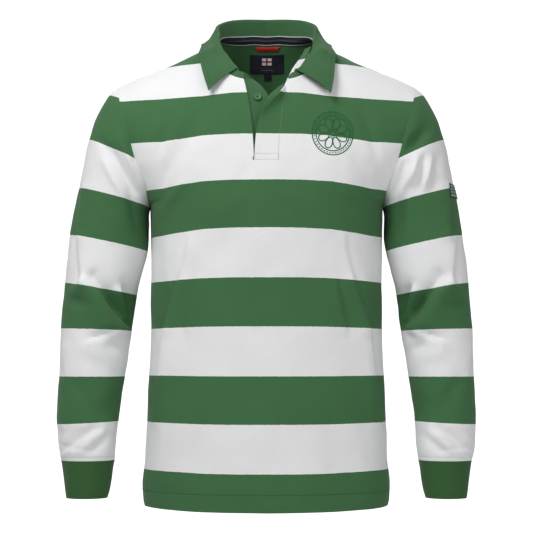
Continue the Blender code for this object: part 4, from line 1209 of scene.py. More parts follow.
# %% [markdown]
# ## Placket strips
# The button side is a plain strip that lies below. The flap over it continues the front's hoops and curls
# open at the top. Both start at the edges of the cut in the front, so they are drawn out from those edges
# to a free edge by share of the way up.

# %% Placket strips
PLACKET_WALL = 0.0015
STRIP_FINE = 3 * FINE
STRIP_FALL = 11
STRIP_RISE = 0.0045
STRIPS = table(
    "share under_x under_back flap_x flap_back facing_x facing_back",
    (0.00, 0.0165, 0.0000, -0.0190, 0.0000, -0.0060, 0.0000),
    (0.16, 0.0160, 0.0000, -0.0178, 0.0000, -0.0075, 0.0000),
    (0.36, 0.0145, 0.0000, -0.0145, -0.0010, -0.0100, 0.0000),
    (0.48, 0.0130, 0.0000, -0.0105, -0.0035, -0.0112, -0.0002),
    (0.58, 0.0105, 0.0005, -0.0012, -0.0062, -0.0078, -0.0006),
    (0.71, 0.0050, 0.0020, 0.0135, -0.0078, 0.0003, 0.0000),
    (0.80, -0.0004, 0.0060, 0.0245, -0.0058, 0.0093, 0.0030),
    (0.90, -0.0090, 0.0140, 0.0292, 0.0052, 0.0205, 0.0120),
    (1.00, -0.0208, 0.0265, 0.0328, 0.0215, 0.0304, 0.0245),
)


def surface_y(x, z):
    """How far forward the front panel's own surface would be at this place."""
    rise = min(max(rise_at(x, z), 0), 0.99)
    return yoke_point(x, math.sqrt(1 - rise), True).y


def strip(edge, name, power, sink, lift, foot=0.0):
    """A strip from its seam to its free edge. It meets the panel at its foot."""
    rows = []
    for i, seam in enumerate(map(Vector, edge)):
        share = i / (len(edge) - 1)
        raised = lift * (soft_step(share, 0, foot) if foot else 1)
        free_x = read(STRIPS, name + "_x", share)
        back_by = read(STRIPS, name + "_back", share) - raised
        off = seam.y - surface_y(seam.x, seam.z)
        line = []
        for step in range(STRIP_FINE + 1):
            t = (step / STRIP_FINE) ** power
            x = mix(seam.x, free_x, t)
            y = surface_y(x, seam.z) + back_by * t * t + sink * min(t * STRIP_FALL, 1) + off * (1 - t) ** 2
            line.append((x, y, seam.z + STRIP_RISE * share**6 * t))
        rows.append(line)
    return np.array(rows)


under_points = strip(front_panel[SLIT_ROW:, SLIT_RIGHT], "under", 2.2, 0.0040, 0.0)
flap_points = strip(front_panel[SLIT_ROW:, SLIT_LEFT], "flap", 1.4, 0.0, 0.0024, foot=0.15)[:, ::-1]
under_across = lengths(under_points, 1)
placket_under = make_cloth(
    "placket_under_strip",
    under_points,
    [twill],
    ["placket_under"],
    "green_twill",
    wall=PLACKET_WALL,
    line=under_across[:, -1:] - under_across - 0.003,
    seam=under_across,
)
flap_across = lengths(flap_points, 1)
placket_over = make_cloth(
    "placket_flap",
    flap_points,
    [jersey],
    ["placket_over"],
    "striped_jersey",
    wall=PLACKET_WALL,
    band=body_band(flap_points[:, :, 0], flap_points[:, :, 2]),
    line=1.0,
    seam=flap_across[:, -1:] - flap_across + 0.001,
)

# %% [markdown]
# ## Facing
# The inner layer that holds the buttonholes lies behind the flap and runs on up inside the neck. Its
# lower part and its top are green and the stretch between is white, because it is cut from the hooped
# cloth. It follows the flap's edge, set back a little, and then two lines inside the neck.

# %% Facing
FACING_SINK = 0.0019
FACING_INSET = 0.0040
FACING_TOP_SHIFT = 0.0085
FACING_TOP_BACK = 0.0115
FACING_RISE = 0.0006
IN_NECK = (
    ((0.0405, -0.0600, -0.0300), (0.0532, -0.0830, -0.0330)),
    ((0.0503, -0.0450, -0.0135), (0.0610, -0.0660, -0.0150)),
    ((0.0580, -0.0300, 0.0010), (0.0680, -0.0460, 0.0020)),
    ((0.0622, -0.0200, 0.0108), (0.0722, -0.0300, 0.0130)),
)


def facing_coarse():
    """Rows from the free edge to the sewn edge."""
    edge = front_points[BODY_STEPS + PLACKET_STEP :, STEPS + CENTRE_STEPS]
    shares = [k / 3 for k in range(4)]
    rows = []
    for i, seam in enumerate(map(Vector, edge)):
        share = i / (len(edge) - 1)
        high = float(soft_step(share, 0.75, 1.0))
        back_by = read(STRIPS, "facing_back", share)
        sewn_x = seam.x - FACING_INSET + FACING_TOP_SHIFT * high
        line = []
        for t in shares:
            x = mix(sewn_x, read(STRIPS, "facing_x", share), t)
            y = surface_y(x, seam.z) + FACING_SINK + mix(FACING_TOP_BACK * high, back_by, t)
            line.append((x, y, seam.z + FACING_RISE))
        rows.append(line[::-1])
    for free, sewn in IN_NECK:
        rows.append([tuple(Vector(free).lerp(Vector(sewn), t)) for t in shares])
    return np.array(rows)


facing_points = finer_grid(facing_coarse())
facing_z = facing_points[:, :, 2]
facing = make_cloth(
    "placket_facing_strip",
    facing_points,
    [jersey],
    ["placket_facing"],
    "green_twill",
    wall=PLACKET_WALL,
    band=np.where((facing_z > -0.047) & (facing_z < -0.0135), 1.5, 0.5),
    line=1.0,
    seam=lengths(facing_points, 1) + 0.001,
)

# %% [markdown]
# ## Form of the collar
# By share of the neck seam, from the middle of the back: where the stand rolls over, and where the leaf's
# free edge lies. Each section is drawn from the seam up, round a tight roll and down to the free edge.

# %% Form of the collar
COLLAR_WALL = 0.0018
ROLL_RADIUS = 0.0020
STAND_FINE = 12
ROLL_FINE = 8
LEAF_FINE = 26
POINT = (0.0898, 0.1012, -0.1110, -0.0745)
BULGE = ((0.0, 0.25, 0.40, 0.60, 0.75), (0.0040, 0.0020, 0.0010, 0.0014, 0.0035))
COLLAR = table(
    "share roll_right roll_left roll_y roll_z edge_right edge_left edge_y edge_z",
    (0.000, 0.0000, 0.0000, 0.0600, 0.0740, 0.0000, 0.0000, 0.0860, 0.0300),
    (0.140, 0.0405, 0.0405, 0.0510, 0.0725, 0.0520, 0.0520, 0.0720, 0.0265),
    (0.300, 0.0685, 0.0685, 0.0270, 0.0635, 0.0870, 0.0870, 0.0420, 0.0165),
    (0.390, 0.0787, 0.0787, 0.0040, 0.0530, 0.0975, 0.0980, 0.0120, 0.0160),
    (0.500, 0.0768, 0.0770, -0.0160, 0.0370, 0.1025, 0.1032, -0.0190, 0.0095),
    (0.626, 0.0725, 0.0738, -0.0400, 0.0150, 0.1062, 0.1090, -0.0520, -0.0070),
    (0.698, 0.0660, 0.0690, -0.0580, -0.0020, 0.1050, 0.1085, -0.0665, -0.0200),
    (0.751, 0.0580, 0.0625, -0.0730, -0.0160, 0.1020, 0.1075, -0.0815, -0.0335),
    (0.800, 0.0505, 0.0565, -0.0860, -0.0277, 0.0975, 0.1055, -0.0975, -0.0510),
    (0.847, 0.0430, 0.0503, -0.0950, -0.0368, *POINT),
    (0.894, 0.0352, 0.0410, -0.0985, -0.0400, *POINT),
    (0.950, 0.0280, 0.0372, -0.0895, -0.0430, *POINT),
    (1.000, 0.0210, 0.0338, -0.0790, -0.0455, *POINT),
)


def collar_point(line, share, on_left):
    side, sign = ("_left", 1) if on_left else ("_right", -1)
    x, y, z = (float(read(COLLAR, line + name, share)) for name in (side, "_y", "_z"))
    return Vector((sign * x, y, z))


def collar_section(base, share, on_left):
    """Points from the neck seam up the stand, over the roll and down the leaf."""
    roll = collar_point("roll", share, on_left)
    edge = collar_point("edge", share, on_left)
    up = (roll - base).normalized()
    out = edge - roll
    out = (out - up * out.dot(up)).normalized()
    top = roll - up * ROLL_RADIUS
    points = [base.lerp(top, i / STAND_FINE) for i in range(STAND_FINE + 1)]
    centre = top + out * ROLL_RADIUS
    for i in range(1, ROLL_FINE + 1):
        angle = math.pi * i / ROLL_FINE
        points.append(centre + (up * math.sin(angle) - out * math.cos(angle)) * ROLL_RADIUS)
    start = points[-1]
    bulge = (out + Vector((0, 0, 0.4))).normalized() * float(np.interp(share, *BULGE))
    for i in range(1, LEAF_FINE + 1):
        t = i / LEAF_FINE
        points.append(start.lerp(edge, t) + bulge * math.sin(math.pi * t))
    return [tuple(p) for p in points]


print("points in a collar section", len(collar_section(Vector((0, 0.05, 0.02)), 0.0, True)))

# %% [markdown]
# ## Lifting the collar clear
# The leaf is lifted off the shoulders in three rounds, and each round's moves are evened out over the
# leaf.

# %% Lifting the collar clear
SEAM_REACH = 0.0055
LIFT_REACH = 0.03


def smooth_moves(moves, rounds):
    """Evens out a field of moves over its neighbours."""
    for _ in range(rounds):
        padded = np.pad(moves, ((1, 1), (1, 1), (0, 0)), mode="edge")
        around = padded[:-2, 1:-1] + padded[2:, 1:-1] + padded[1:-1, :-2] + padded[1:-1, 2:]
        moves = (around + 4 * moves) / 8
    return moves


def lift_clear(points, first, trees, clearance):
    """How far each point from a column on has to move to lie this far outside the surfaces."""
    moves = np.zeros_like(points)
    for i in range(points.shape[0]):
        for j in range(first, points.shape[1]):
            place = Vector(points[i, j])
            for tree in trees:
                spot, normal, _, _ = tree.find_nearest(place)
                at_seam = np.linalg.norm(chain - np.array(spot), axis=1).min() < SEAM_REACH
                height = (place - spot).dot(normal)
                if height < clearance and (place - spot).length < LIFT_REACH and not at_seam:
                    place += normal * (clearance - height)
            moves[i, j] = np.array(place) - points[i, j]
    return moves


front_tree = tree_of(front_panel, mask=slit)
back_tree = tree_of(back_panel, turn=-1)
print("nearest cloth to the origin", front_tree.find_nearest(Vector((0, 0, 0)))[3])

# %% [markdown]
# ## Collar
# A stand that rises from the neck seam and a leaf turned down over it, in green twill. It could be a flat
# shape bent round in a simulation, but its roll and its points are set by the photo, so it is built of
# sections.

# %% Collar
LEAF_START = STAND_FINE + ROLL_FINE
LEAF_END = STRIP_FINE + FINE


def neck_chain():
    """The fine line that the collar is sewn to, and where the middle of the back is on it."""
    right = front_panel[-1, SLIT_RIGHT : NECK_STEPS * FINE : -1]
    behind = back_panel[-1, NECK_STEPS * FINE : (NECK_STEPS + STEPS) * FINE + 1]
    left = front_panel[-1, SLIT_LEFT + NECK_STEPS * FINE - 1 : SLIT_LEFT - 1 : -1]
    start = np.concatenate([under_points[-1][:0:-1], right])
    return np.concatenate([start, behind, left, flap_points[-1][-2::-1]]), len(start) + NECK_STEPS * FINE


def collar_sections():
    run = path_run(chain) - path_run(chain)[chain_middle]
    sections = []
    for i, base in enumerate(chain):
        on_left = i >= chain_middle
        share = run[i] / (run[-1] if on_left else run[0])
        sections.append(collar_section(Vector(base), share, on_left))
    return np.array(sections)


def leaf_mask(shape):
    """All faces but the leaf's at both ends, where only the stand crosses the placket."""
    mask = np.ones((shape[0] - 1, shape[1] - 1), bool)
    mask[:LEAF_END, STAND_FINE:] = False
    mask[-LEAF_END:, STAND_FINE:] = False
    return mask


def to_leaf_edge(grid):
    """Distance from the leaf's free edge and from its two front edges."""
    down = lengths(grid, 1)
    along = lengths(grid, 0)
    ends = np.minimum(np.abs(along - along[LEAF_END]), np.abs(along[-LEAF_END - 1] - along))
    return np.minimum(down[:, -1:] - down, ends)


chain, chain_middle = neck_chain()
collar_grid = collar_sections()
for clearance, rounds in ((0.0030, 30), (0.0030, 12), (0.0024, 3)):
    moves = lift_clear(collar_grid, LEAF_START + 1, (front_tree, back_tree), clearance)
    collar_grid = collar_grid + smooth_moves(moves, rounds)
collar = make_cloth(
    "collar_leaf_and_stand",
    collar_grid,
    [twill],
    ["collar"],
    "green_twill",
    mask=leaf_mask(collar_grid.shape),
    wall=COLLAR_WALL,
    line=to_leaf_edge(collar_grid) - 0.006,
    seam=lengths(collar_grid, 1),
)

# %% [markdown]
# ## Woven trim
# Tape, ribbon and labels are smooth tight weaves: half-matt, with threads too fine to show but close by.
# A woven edge or a mark in another colour lies over the ground.

# %% Woven trim
TRIM_GAP = 0.0004


def make_woven(name, code, thread=0.0005, edge_code=None, edge_from=1.0):
    """A woven tape or label: fine threads both ways, and a woven edge in another colour."""
    made, tree, shader = new_material(name)
    base = colour(code)
    if edge_code:
        edge = add(tree, "Attribute", out="Fac", attribute_name="edge")
        is_edge = add(tree, "Math", (edge, edge_from), operation="GREATER_THAN")
        base = add(tree, "Mix", {0: is_edge, 6: base, 7: colour(edge_code)}, out=2, data_type="RGBA")
    tree.links.new(shaded(tree, base, 0.9, 1.1, 0.001), shader.inputs["Base Color"])
    shader.inputs["Roughness"].default_value = 0.65
    count = 2 * math.pi / thread
    turns = [add(tree, "Math", (way, count), operation="MULTIPLY") for way in map_metres(tree)]
    waves = [add(tree, "Math", (turn,), operation="SINE") for turn in turns]
    weave = add(tree, "Math", waves, operation="MULTIPLY")
    height = add(tree, "Math", (weave, 0.00006), operation="MULTIPLY")
    tree.links.new(add(tree, "Bump", {"Height": height, "Distance": 1.0}), shader.inputs["Normal"])
    return made


def lay_mark(made, inside, code):
    """Lays a colour over the piece's own where a value is 1."""
    socket = made.node_tree.nodes["Principled BSDF"].inputs["Base Color"]
    base = socket.links[0].from_socket
    over_base = add(made.node_tree, "Mix", {0: inside, 6: base, 7: colour(code)}, out=2, data_type="RGBA")
    made.node_tree.links.new(over_base, socket)


def lay_box(made, low_x, high_x, low_y, high_y, code):
    """Lays a colour inside a rectangle of the piece's own map, in metres."""
    tree = made.node_tree
    across, along = map_metres(tree)
    inside = 1.0
    for way, low, high in ((across, low_x, high_x), (along, low_y, high_y)):
        above = add(tree, "Math", (way, low), operation="GREATER_THAN")
        below = add(tree, "Math", (way, high), operation="LESS_THAN")
        both = add(tree, "Math", (above, below), operation="MULTIPLY")
        inside = add(tree, "Math", (inside, both), operation="MULTIPLY")
    lay_mark(made, inside, code)


def turn_towards(grid, target):
    """Which way round a small patch's faces go, so that its front is towards a point."""
    towards = (grid_normals(grid) * (np.array(target) - grid)).sum()
    return 1 if towards > 0 else -1


tape_cloth = make_woven("navy_woven_tape", "#20222e", edge_code="#d9dadc", edge_from=0.82)
across_tape = add(tape_cloth.node_tree, "Attribute", out="Fac", attribute_name="edge")
# A lighter line along the tape's middle: a painted highlight on the ridge where the tape bends over the
# seam.
painted_ridge_highlight = add(tape_cloth.node_tree, "Math", (across_tape, 0.16), operation="LESS_THAN")
lay_mark(tape_cloth, painted_ridge_highlight, "#454854")
print("tape", len(tape_cloth.node_tree.nodes), "nodes")

# %% [markdown]
# ## Neck tape
# A woven tape covers the back neck seam inside, half on the stand and half on the back. It is navy with a
# thin white line along each edge, and a lighter line along its middle that is a painted highlight where it
# bends over the seam. It is built along the seam, bent over it like the real one.

# %% Neck tape
TAPE_HALF = 0.0072
TAPE_THICK = 0.0008
TAPE_ACROSS = 20
TAPE_MIDDLE_RISE = 0.0018
TAPE_END_FALL = -0.0062
tape_reach = (NECK_STEPS - 1) * FINE + 3


def tape_row(i):
    """Points across the tape, from above the neck seam to below it, at one point of the seam."""
    seam = Vector(chain[i])
    along = Vector(chain[i + 1] - chain[i - 1]).normalized()
    above = Vector(collar_grid[i, 4] - collar_grid[i, 0]).normalized()
    col = i - chain_middle + STEPS * FINE
    below = Vector(back_panel[-4, col] - back_panel[-1, col]).normalized()
    inward = Vector((0, 0, seam.z)) - seam
    faces = [along.cross(direction).normalized() for direction in (above, below)]
    faces = [face if face.dot(inward) > 0 else -face for face in faces]
    raised = mix(TAPE_END_FALL, TAPE_MIDDLE_RISE, math.cos(math.pi / 2 * (i - chain_middle) / tape_reach))
    row = []
    for k in range(TAPE_ACROSS + 1):
        t = (2 * k / TAPE_ACROSS - 1) - raised / TAPE_HALF
        into = faces[0].lerp(faces[1], float(soft_step(t, -0.5, 0.5))).normalized()
        direction = above if t < 0 else below
        row.append(tuple(seam + direction * abs(t) * TAPE_HALF + into * (WALL + TRIM_GAP + TAPE_THICK)))
    return row


tape_places = range(chain_middle - tape_reach, chain_middle + tape_reach + 1)
tape_points = np.array([tape_row(i) for i in tape_places])
neck_tape = make_cloth(
    "neck_tape_woven",
    tape_points,
    [tape_cloth],
    ["neck_tape"],
    "tape",
    turn=turn_towards(tape_points, (0, -0.2, 0.03)),
    wall=TAPE_THICK,
    edge=np.abs(np.linspace(-1, 1, TAPE_ACROSS + 1))[None],
)

# %% [markdown]
# ## Hanger loop, label and size tab
# All three are sewn to the inside of the back: a ribbon to hang the shirt by, a woven label and its small
# tab. Each is a patch cast onto that surface. The label holds plain woven bars and rules and no words.

# %% Hanger loop, label and size tab
LABEL_THICK = 0.0008
LABEL_MARKS = (
    (-0.0082, 0.0082, 0.0140, 0.0262, "#e2e2e4"),
    (-0.0082, 0.0082, 0.0188, 0.0214, "#a8242c"),
    (-0.0013, 0.0013, 0.0140, 0.0262, "#a8242c"),
    (-0.0215, 0.0215, 0.0085, 0.0094, "#7c2a30"),
    (-0.0105, 0.0105, 0.0050, 0.0057, "#8a8c94"),
)


def back_patch(x_low, x_high, z_low, z_high, across, down, taper=0.0):
    """A grid on the inside of the back between two heights, narrower at its lower edge by the taper."""
    rows = []
    for i in range(down + 1):
        z = mix(z_high, z_low, i / down)
        half = (x_high - x_low) / 2 * (1 - taper * i / down)
        line = []
        for j in range(across + 1):
            x = (x_high + x_low) / 2 + half * (2 * j / across - 1)
            spot, _, _, _ = back_tree.ray_cast(Vector((x, 0, z)), Vector((0, 1, 0)))
            line.append((x, spot.y - WALL - 2 * TRIM_GAP - LABEL_THICK, z))
        rows.append(line)
    return np.array(rows)


def sew_inside(name, points, cloth, node, slot_name):
    turn = turn_towards(points, (0, -0.2, 0))
    return make_cloth(name, points, [cloth], [node], slot_name, turn=turn, wall=LABEL_THICK, edge=0.0)


def make_label_cloth():
    """Damask label: fine navy satin with woven bars and rules."""
    made = make_woven("navy_damask_label", "#242838", 0.0004)
    for mark in LABEL_MARKS:
        lay_box(made, *mark)
    return made


label_points = back_patch(-0.0276, 0.0288, -0.0104, 0.0183, 24, 12)[::-1]
label = sew_inside("label_woven", label_points, make_label_cloth(), "label", "label")
tab_points = back_patch(-0.0040, 0.0078, -0.0213, -0.0114, 6, 6)
tab_cloth = make_woven("navy_satin_tab", "#20232f", 0.0004)
size_tab = sew_inside("size_tab_woven", tab_points, tab_cloth, "size_tab", "label")
loop_points = back_patch(-0.0198, 0.0222, 0.0243, 0.0308, 16, 6, taper=0.22)
loop_points[:, :, 1] -= np.sin(np.linspace(0, np.pi, 7))[:, None] * 0.0012
ribbon = make_woven("red_grosgrain_ribbon", "#c02f2c", 0.0008)
loop = sew_inside("hanger_loop_ribbon", loop_points, ribbon, "hanger_loop", "ribbon")

# %% [markdown]
# ## Sleeve badge
# A small sewn patch on the outside of the left sleeve: a grey field with a green border and plain green
# bars. It is cast onto the sleeve from inside, so it bends with it.

# %% Sleeve badge
BADGE_Z = -0.2318
BADGE_HALF_HEIGHT = 0.0114
BADGE_FROM = 138
BADGE_TO = 172
BADGE_THICK = 0.0009
BADGE_CENTRE_X = 0.245
BADGE_RISE = 0.16
BADGE_ROWS = 12
BADGE_STEPS = 20
BAR_HALF = (0.0145, 0.0012)
left_sleeve_tree = tree_of(sleeve_points["left"], closed=True, turn=-1)


def badge_grid():
    rows = []
    for i in range(BADGE_ROWS + 1):
        z = BADGE_Z + BADGE_HALF_HEIGHT * (2 * i / BADGE_ROWS - 1)
        line = []
        for j in range(BADGE_STEPS + 1):
            angle = math.radians(mix(BADGE_FROM, BADGE_TO, j / BADGE_STEPS))
            direction = Vector((-math.cos(angle), -math.sin(angle), BADGE_RISE)).normalized()
            spot, _, _, _ = left_sleeve_tree.ray_cast(Vector((BADGE_CENTRE_X, 0, z)), direction)
            line.append(tuple(spot + direction * (2 * TRIM_GAP + BADGE_THICK)))
        rows.append(line)
    return np.array(rows)


def make_badge_cloth():
    """Grey twill with a satin border and bars in green thread, all half-matt."""
    made = make_woven("grey_twill_badge", "#9ea49f", 0.0006, edge_code="#2f5a3d", edge_from=0.84)
    half_x, half_z = BAR_HALF
    for z in (0.0070, 0.0119, 0.0168):
        lay_box(made, -half_x, half_x, z - half_z, z + half_z, "#3d6b4a")
    return made


badge_points = badge_grid()
up_badge = np.abs(np.linspace(-1, 1, BADGE_ROWS + 1))[:, None]
across_badge = np.abs(np.linspace(-1, 1, BADGE_STEPS + 1))[None]
badge = make_cloth(
    "sleeve_badge_patch",
    badge_points,
    [make_badge_cloth()],
    ["sleeve_badge"],
    "badge",
    turn=turn_towards(badge_points, (0.8, -0.8, -0.2)),
    wall=BADGE_THICK,
    edge=np.maximum(up_badge, across_badge),
)

# %% [markdown]
# ## Button
# A four-hole rugby button, 12.5 mm across, moulded in green rubbery plastic with a raised rim. It is
# turned up from a disc by insets in edit mode, and its holes are cut with a Boolean, as it would be
# modelled by hand.

# %% Button
BUTTON_RADIUS = 0.0062
BUTTON_THICK = 0.0026
BUTTON_HOLE = 0.0008
BUTTON_HOLE_OUT = 0.0015


def make_button_plastic():
    """Moulded nylon, green all through, with the soft gloss of a tumbled button."""
    made, tree, shader = new_material("green_moulded_nylon")
    tree.links.new(shaded(tree, colour("#4d7a5b"), 0.96, 1.04, 0.002), shader.inputs["Base Color"])
    shader.inputs["Roughness"].default_value = 0.38
    return made


def button_disc():
    only()
    bpy.ops.mesh.primitive_cylinder_add(vertices=64, radius=BUTTON_RADIUS, depth=BUTTON_THICK)
    disc = bpy.context.object
    disc.name = "button_nylon"
    bpy.ops.object.mode_set(mode="EDIT")
    bpy.ops.mesh.select_all(action="DESELECT")
    bpy.ops.object.mode_set(mode="OBJECT")
    for face in disc.data.polygons:
        face.select = face.normal.z > 0.9
    bpy.ops.object.mode_set(mode="EDIT")
    bpy.ops.mesh.select_mode(type="FACE")
    bpy.ops.mesh.inset(thickness=BUTTON_RADIUS * 0.24)
    bpy.ops.mesh.inset(thickness=BUTTON_RADIUS * 0.08)
    bpy.ops.transform.translate(value=(0, 0, -BUTTON_THICK * 0.32))
    bpy.ops.object.mode_set(mode="OBJECT")
    rounding = disc.modifiers.new("rounding", "BEVEL")
    rounding.width = 0.0004
    rounding.segments = 3
    rounding.limit_method = "ANGLE"
    bpy.ops.object.modifier_apply(modifier="rounding")
    return disc


def cut_hole(disc, turn):
    only()
    place = (math.cos(turn) * BUTTON_HOLE_OUT, math.sin(turn) * BUTTON_HOLE_OUT, 0)
    long = BUTTON_THICK * 3
    bpy.ops.mesh.primitive_cylinder_add(vertices=20, radius=BUTTON_HOLE, depth=long, location=place)
    cutter = bpy.context.object
    only(disc)
    hole = disc.modifiers.new("hole", "BOOLEAN")
    hole.object = cutter
    bpy.ops.object.modifier_apply(modifier="hole")
    bpy.data.objects.remove(cutter)


button = button_disc()
for k in range(4):
    cut_hole(button, math.pi / 4 + k * math.pi / 2)
print("button", len(button.data.polygons), "faces")

# %% [markdown]
# ## Button sewn on
# The button is turned to the placket's slope and set on it, and two bars of thread cross between its
# holes.

# %% Button sewn on
BUTTON_X = -0.0140
BUTTON_Z = -0.0830
under_tree = tree_of(under_points)
before_button = Vector((BUTTON_X, -0.2, BUTTON_Z))
button_spot, button_normal, _, _ = under_tree.ray_cast(before_button, Vector((0, 1, 0)))
if button_normal.y > 0:
    button_normal = -button_normal


def settle_on_placket(piece, material, nodes):
    """Turns a piece from lying flat at the origin to its place on the placket."""
    only(piece)
    bpy.ops.object.transform_apply(location=True, rotation=True, scale=True)
    piece.data.transform(button_normal.to_track_quat("Z", "Y").to_matrix().to_4x4())
    piece.data.transform(Matrix.Translation(button_spot + button_normal * (TRIM_GAP + BUTTON_THICK / 2)))
    piece.data.materials.clear()
    piece.data.materials.append(material)
    bpy.ops.object.shade_smooth_by_angle(angle=math.radians(40))
    dress(piece, nodes)


def thread_bar(number):
    """One bar of the sewing thread, across the middle from hole to hole."""
    only()
    bpy.ops.mesh.primitive_cylinder_add(
        vertices=10,
        radius=BUTTON_HOLE * 0.55,
        depth=BUTTON_HOLE_OUT * 2,
        location=(0, 0, BUTTON_THICK * 0.24),
        rotation=(math.pi / 2, 0, math.pi / 4 + (number - 2) * math.pi / 2),
    )
    bar = bpy.context.object
    bar.name = "button_thread_" + str(number)
    settle_on_placket(bar, green_thread, [])
    return bar


settle_on_placket(button, make_button_plastic(), ["button"])
button_threads = [thread_bar(number) for number in (1, 2)]
print("button at", tuple(round(v, 4) for v in button_spot))

# %% [markdown]
# ## Threads
# Rows of sewing are real threads here: each stitch is a small capsule laid on the cloth, its ends sunk in
# it. One mesh holds a whole row, because hundreds of separate objects would be slow.

# %% Threads
CAPSULE = ((-0.5, 0.30, -0.5), (-0.36, 0.9, 0.0), (0.0, 1.0, 0.25), (0.36, 0.9, 0.0), (0.5, 0.30, -0.5))
CAPSULE_SIDES = 6


def unit(vectors):
    return vectors / np.maximum(np.linalg.norm(vectors, axis=-1, keepdims=True), 1e-12)


def capsule_faces():
    """The faces of one capsule: quads between its rings and a cap at each end."""
    faces = []
    for low in range(0, (len(CAPSULE) - 1) * CAPSULE_SIDES, CAPSULE_SIDES):
        for k in range(CAPSULE_SIDES):
            n = (k + 1) % CAPSULE_SIDES
            faces.append((low + k, low + n, low + CAPSULE_SIDES + n, low + CAPSULE_SIDES + k))
    last = (len(CAPSULE) - 1) * CAPSULE_SIDES
    return faces + [tuple(reversed(range(CAPSULE_SIDES))), tuple(range(last, last + CAPSULE_SIDES))]


def threads(name, places, directions, normals, length, radius, material, slot_name):
    """One mesh of capsules, each along its direction and lying on its normal."""
    forward = unit(directions)
    out = unit(normals - forward * (normals * forward).sum(axis=1, keepdims=True))
    side = np.cross(out, forward)
    turns = 2 * np.pi * np.arange(CAPSULE_SIDES) / CAPSULE_SIDES
    corners = []
    for along, thick, rise in CAPSULE:
        middle = places + forward * length * along + out * radius * rise
        corners += [middle + (out * math.sin(t) + side * math.cos(t)) * radius * thick for t in turns]
    points = np.stack(corners, axis=1)
    each = points.shape[1]
    faces = [tuple(v + i * each for v in face) for i in range(len(places)) for face in capsule_faces()]
    mesh = bpy.data.meshes.new(name)
    mesh.from_pydata(points.reshape(-1, 3).tolist(), [], faces)
    mesh.materials.append(material)
    made = bpy.data.objects.new(name, mesh)
    bpy.context.scene.collection.objects.link(made)
    only(made)
    bpy.ops.object.mode_set(mode="EDIT")
    bpy.ops.mesh.select_all(action="SELECT")
    bpy.ops.mesh.normals_make_consistent(inside=False)
    bpy.ops.object.mode_set(mode="OBJECT")
    bpy.ops.object.shade_smooth_by_angle(angle=math.radians(60))
    dress(made, [])
    print(name, len(places), "threads")
    return made


print("faces in a stitch", len(capsule_faces()))

# %% [markdown]
# ## Hem and wrist stitches
# The hem is turned up 27 mm and sewn in green. A pale row holds each sleeve to its cuff.

# %% Hem and wrist stitches
STITCH_PITCH = 0.0032
STITCH_LENGTH = 0.0026
STITCH_RADIUS = 0.00030


def along_path(points, normals, pitch):
    """Places, directions and normals at an even pitch along a path."""
    run = path_run(points)
    at = np.arange(pitch / 2, run[-1], pitch)

    def read_at(values, where):
        return np.stack([np.interp(where, run, values[:, k]) for k in range(3)], axis=1)

    ahead = read_at(points, at + pitch / 4) - read_at(points, at - pitch / 4)
    return read_at(points, at), ahead, read_at(normals, at)


def sewn_row(name, paths, material, slot_name, radius=STITCH_RADIUS):
    """A row of stitches along each path of points and normals."""
    parts = [along_path(points, normals, STITCH_PITCH) for points, normals in paths]
    laid = [np.concatenate(values) for values in zip(*parts)]
    return threads(name, *laid, STITCH_LENGTH, radius, material, slot_name)


def row_path(grid, row, turn=1, closed=False):
    """Points and outward normals along a line between two rows of a grid."""
    low = int(row)
    normals = grid_normals(grid, closed=closed, turn=turn)
    points, outward = (mix(each[low], each[low + 1], row - low) for each in (grid, normals))
    if closed:
        points, outward = (np.concatenate([each, each[:1]]) for each in (points, outward))
    return points + outward * STITCH_RADIUS * 0.4, outward


hem_row = HEM_STITCH / ((UNDERARM_Z - HEM_Z) / (BODY_STEPS * FINE))
for name, grid, turn in (("front", front_panel, 1), ("back", back_panel, -1)):
    path = row_path(grid, hem_row, turn)
    sewn_row("hem_stitches_" + name, [path], green_thread, "striped_jersey")
for side, grid in sleeve_points.items():
    down = lengths(grid, 0)[:, 0]
    wrist_row = float(np.interp(down[-1] - WRIST_STITCH, down, np.arange(len(down))))
    path = row_path(grid, wrist_row, turn=TURNS[side], closed=True)
    sewn_row("wrist_stitches_" + side, [path], pale_thread, "striped_jersey")

# %% [markdown]
# ## Collar stitches
# A row runs 6 mm inside the leaf's edge, so the edge is moved into the leaf's own surface by that much.

# %% Collar stitches
COLLAR_INSET = 0.006
leaf_top = (collar_grid - grid_normals(collar_grid) * COLLAR_WALL)[LEAF_END:-LEAF_END, LEAF_START:]
leaf_tree = tree_of(leaf_top, turn=-1)
leaf_outline = np.concatenate([leaf_top[0, :-1], leaf_top[:, -1], leaf_top[-1, :-1][::-1]])


def inset_path(outline, distance, tree):
    """The outline moved into the surface, without the points that come too near another part of it."""
    kept = []
    normals = []
    for i in range(1, len(outline) - 1):
        place = Vector(outline[i])
        along = Vector(outline[i + 1] - outline[i - 1])
        if along.length < 1e-6:
            continue
        _, normal, _, _ = tree.find_nearest(place)
        side = along.normalized().cross(normal).normalized() * distance
        tries = [tree.find_nearest(place + side * sign) for sign in (1, -1)]
        misses = [(spot - place - side * sign).length for (spot, *_), sign in zip(tries, (1, -1))]
        spot, facing_out, _, _ = tries[0] if misses[0] < misses[1] else tries[1]
        if min(np.linalg.norm(outline - np.array(spot), axis=1)) > distance * 0.93:
            kept.append(tuple(spot + facing_out * STITCH_RADIUS * 0.4))
            normals.append(tuple(facing_out))
    return np.array(kept), np.array(normals)


collar_path = inset_path(leaf_outline, COLLAR_INSET, leaf_tree)
collar_stitches = sewn_row("collar_edge_stitches", [collar_path], green_thread, "green_twill")

# %% [markdown]
# ## Placket stitches
# The placket has a row beside its seam, a box across its foot and a short bar at the end of the opening.
# Each is drawn as a line in x and z and cast onto the front.

# %% Placket stitches
BOX_LEFT, BOX_RIGHT, BOX_LOW, BOX_HIGH = 0.0178, -0.0168, -0.1832, -0.1740
BAR_X = -0.0205
flap_tree = tree_of(flap_points)


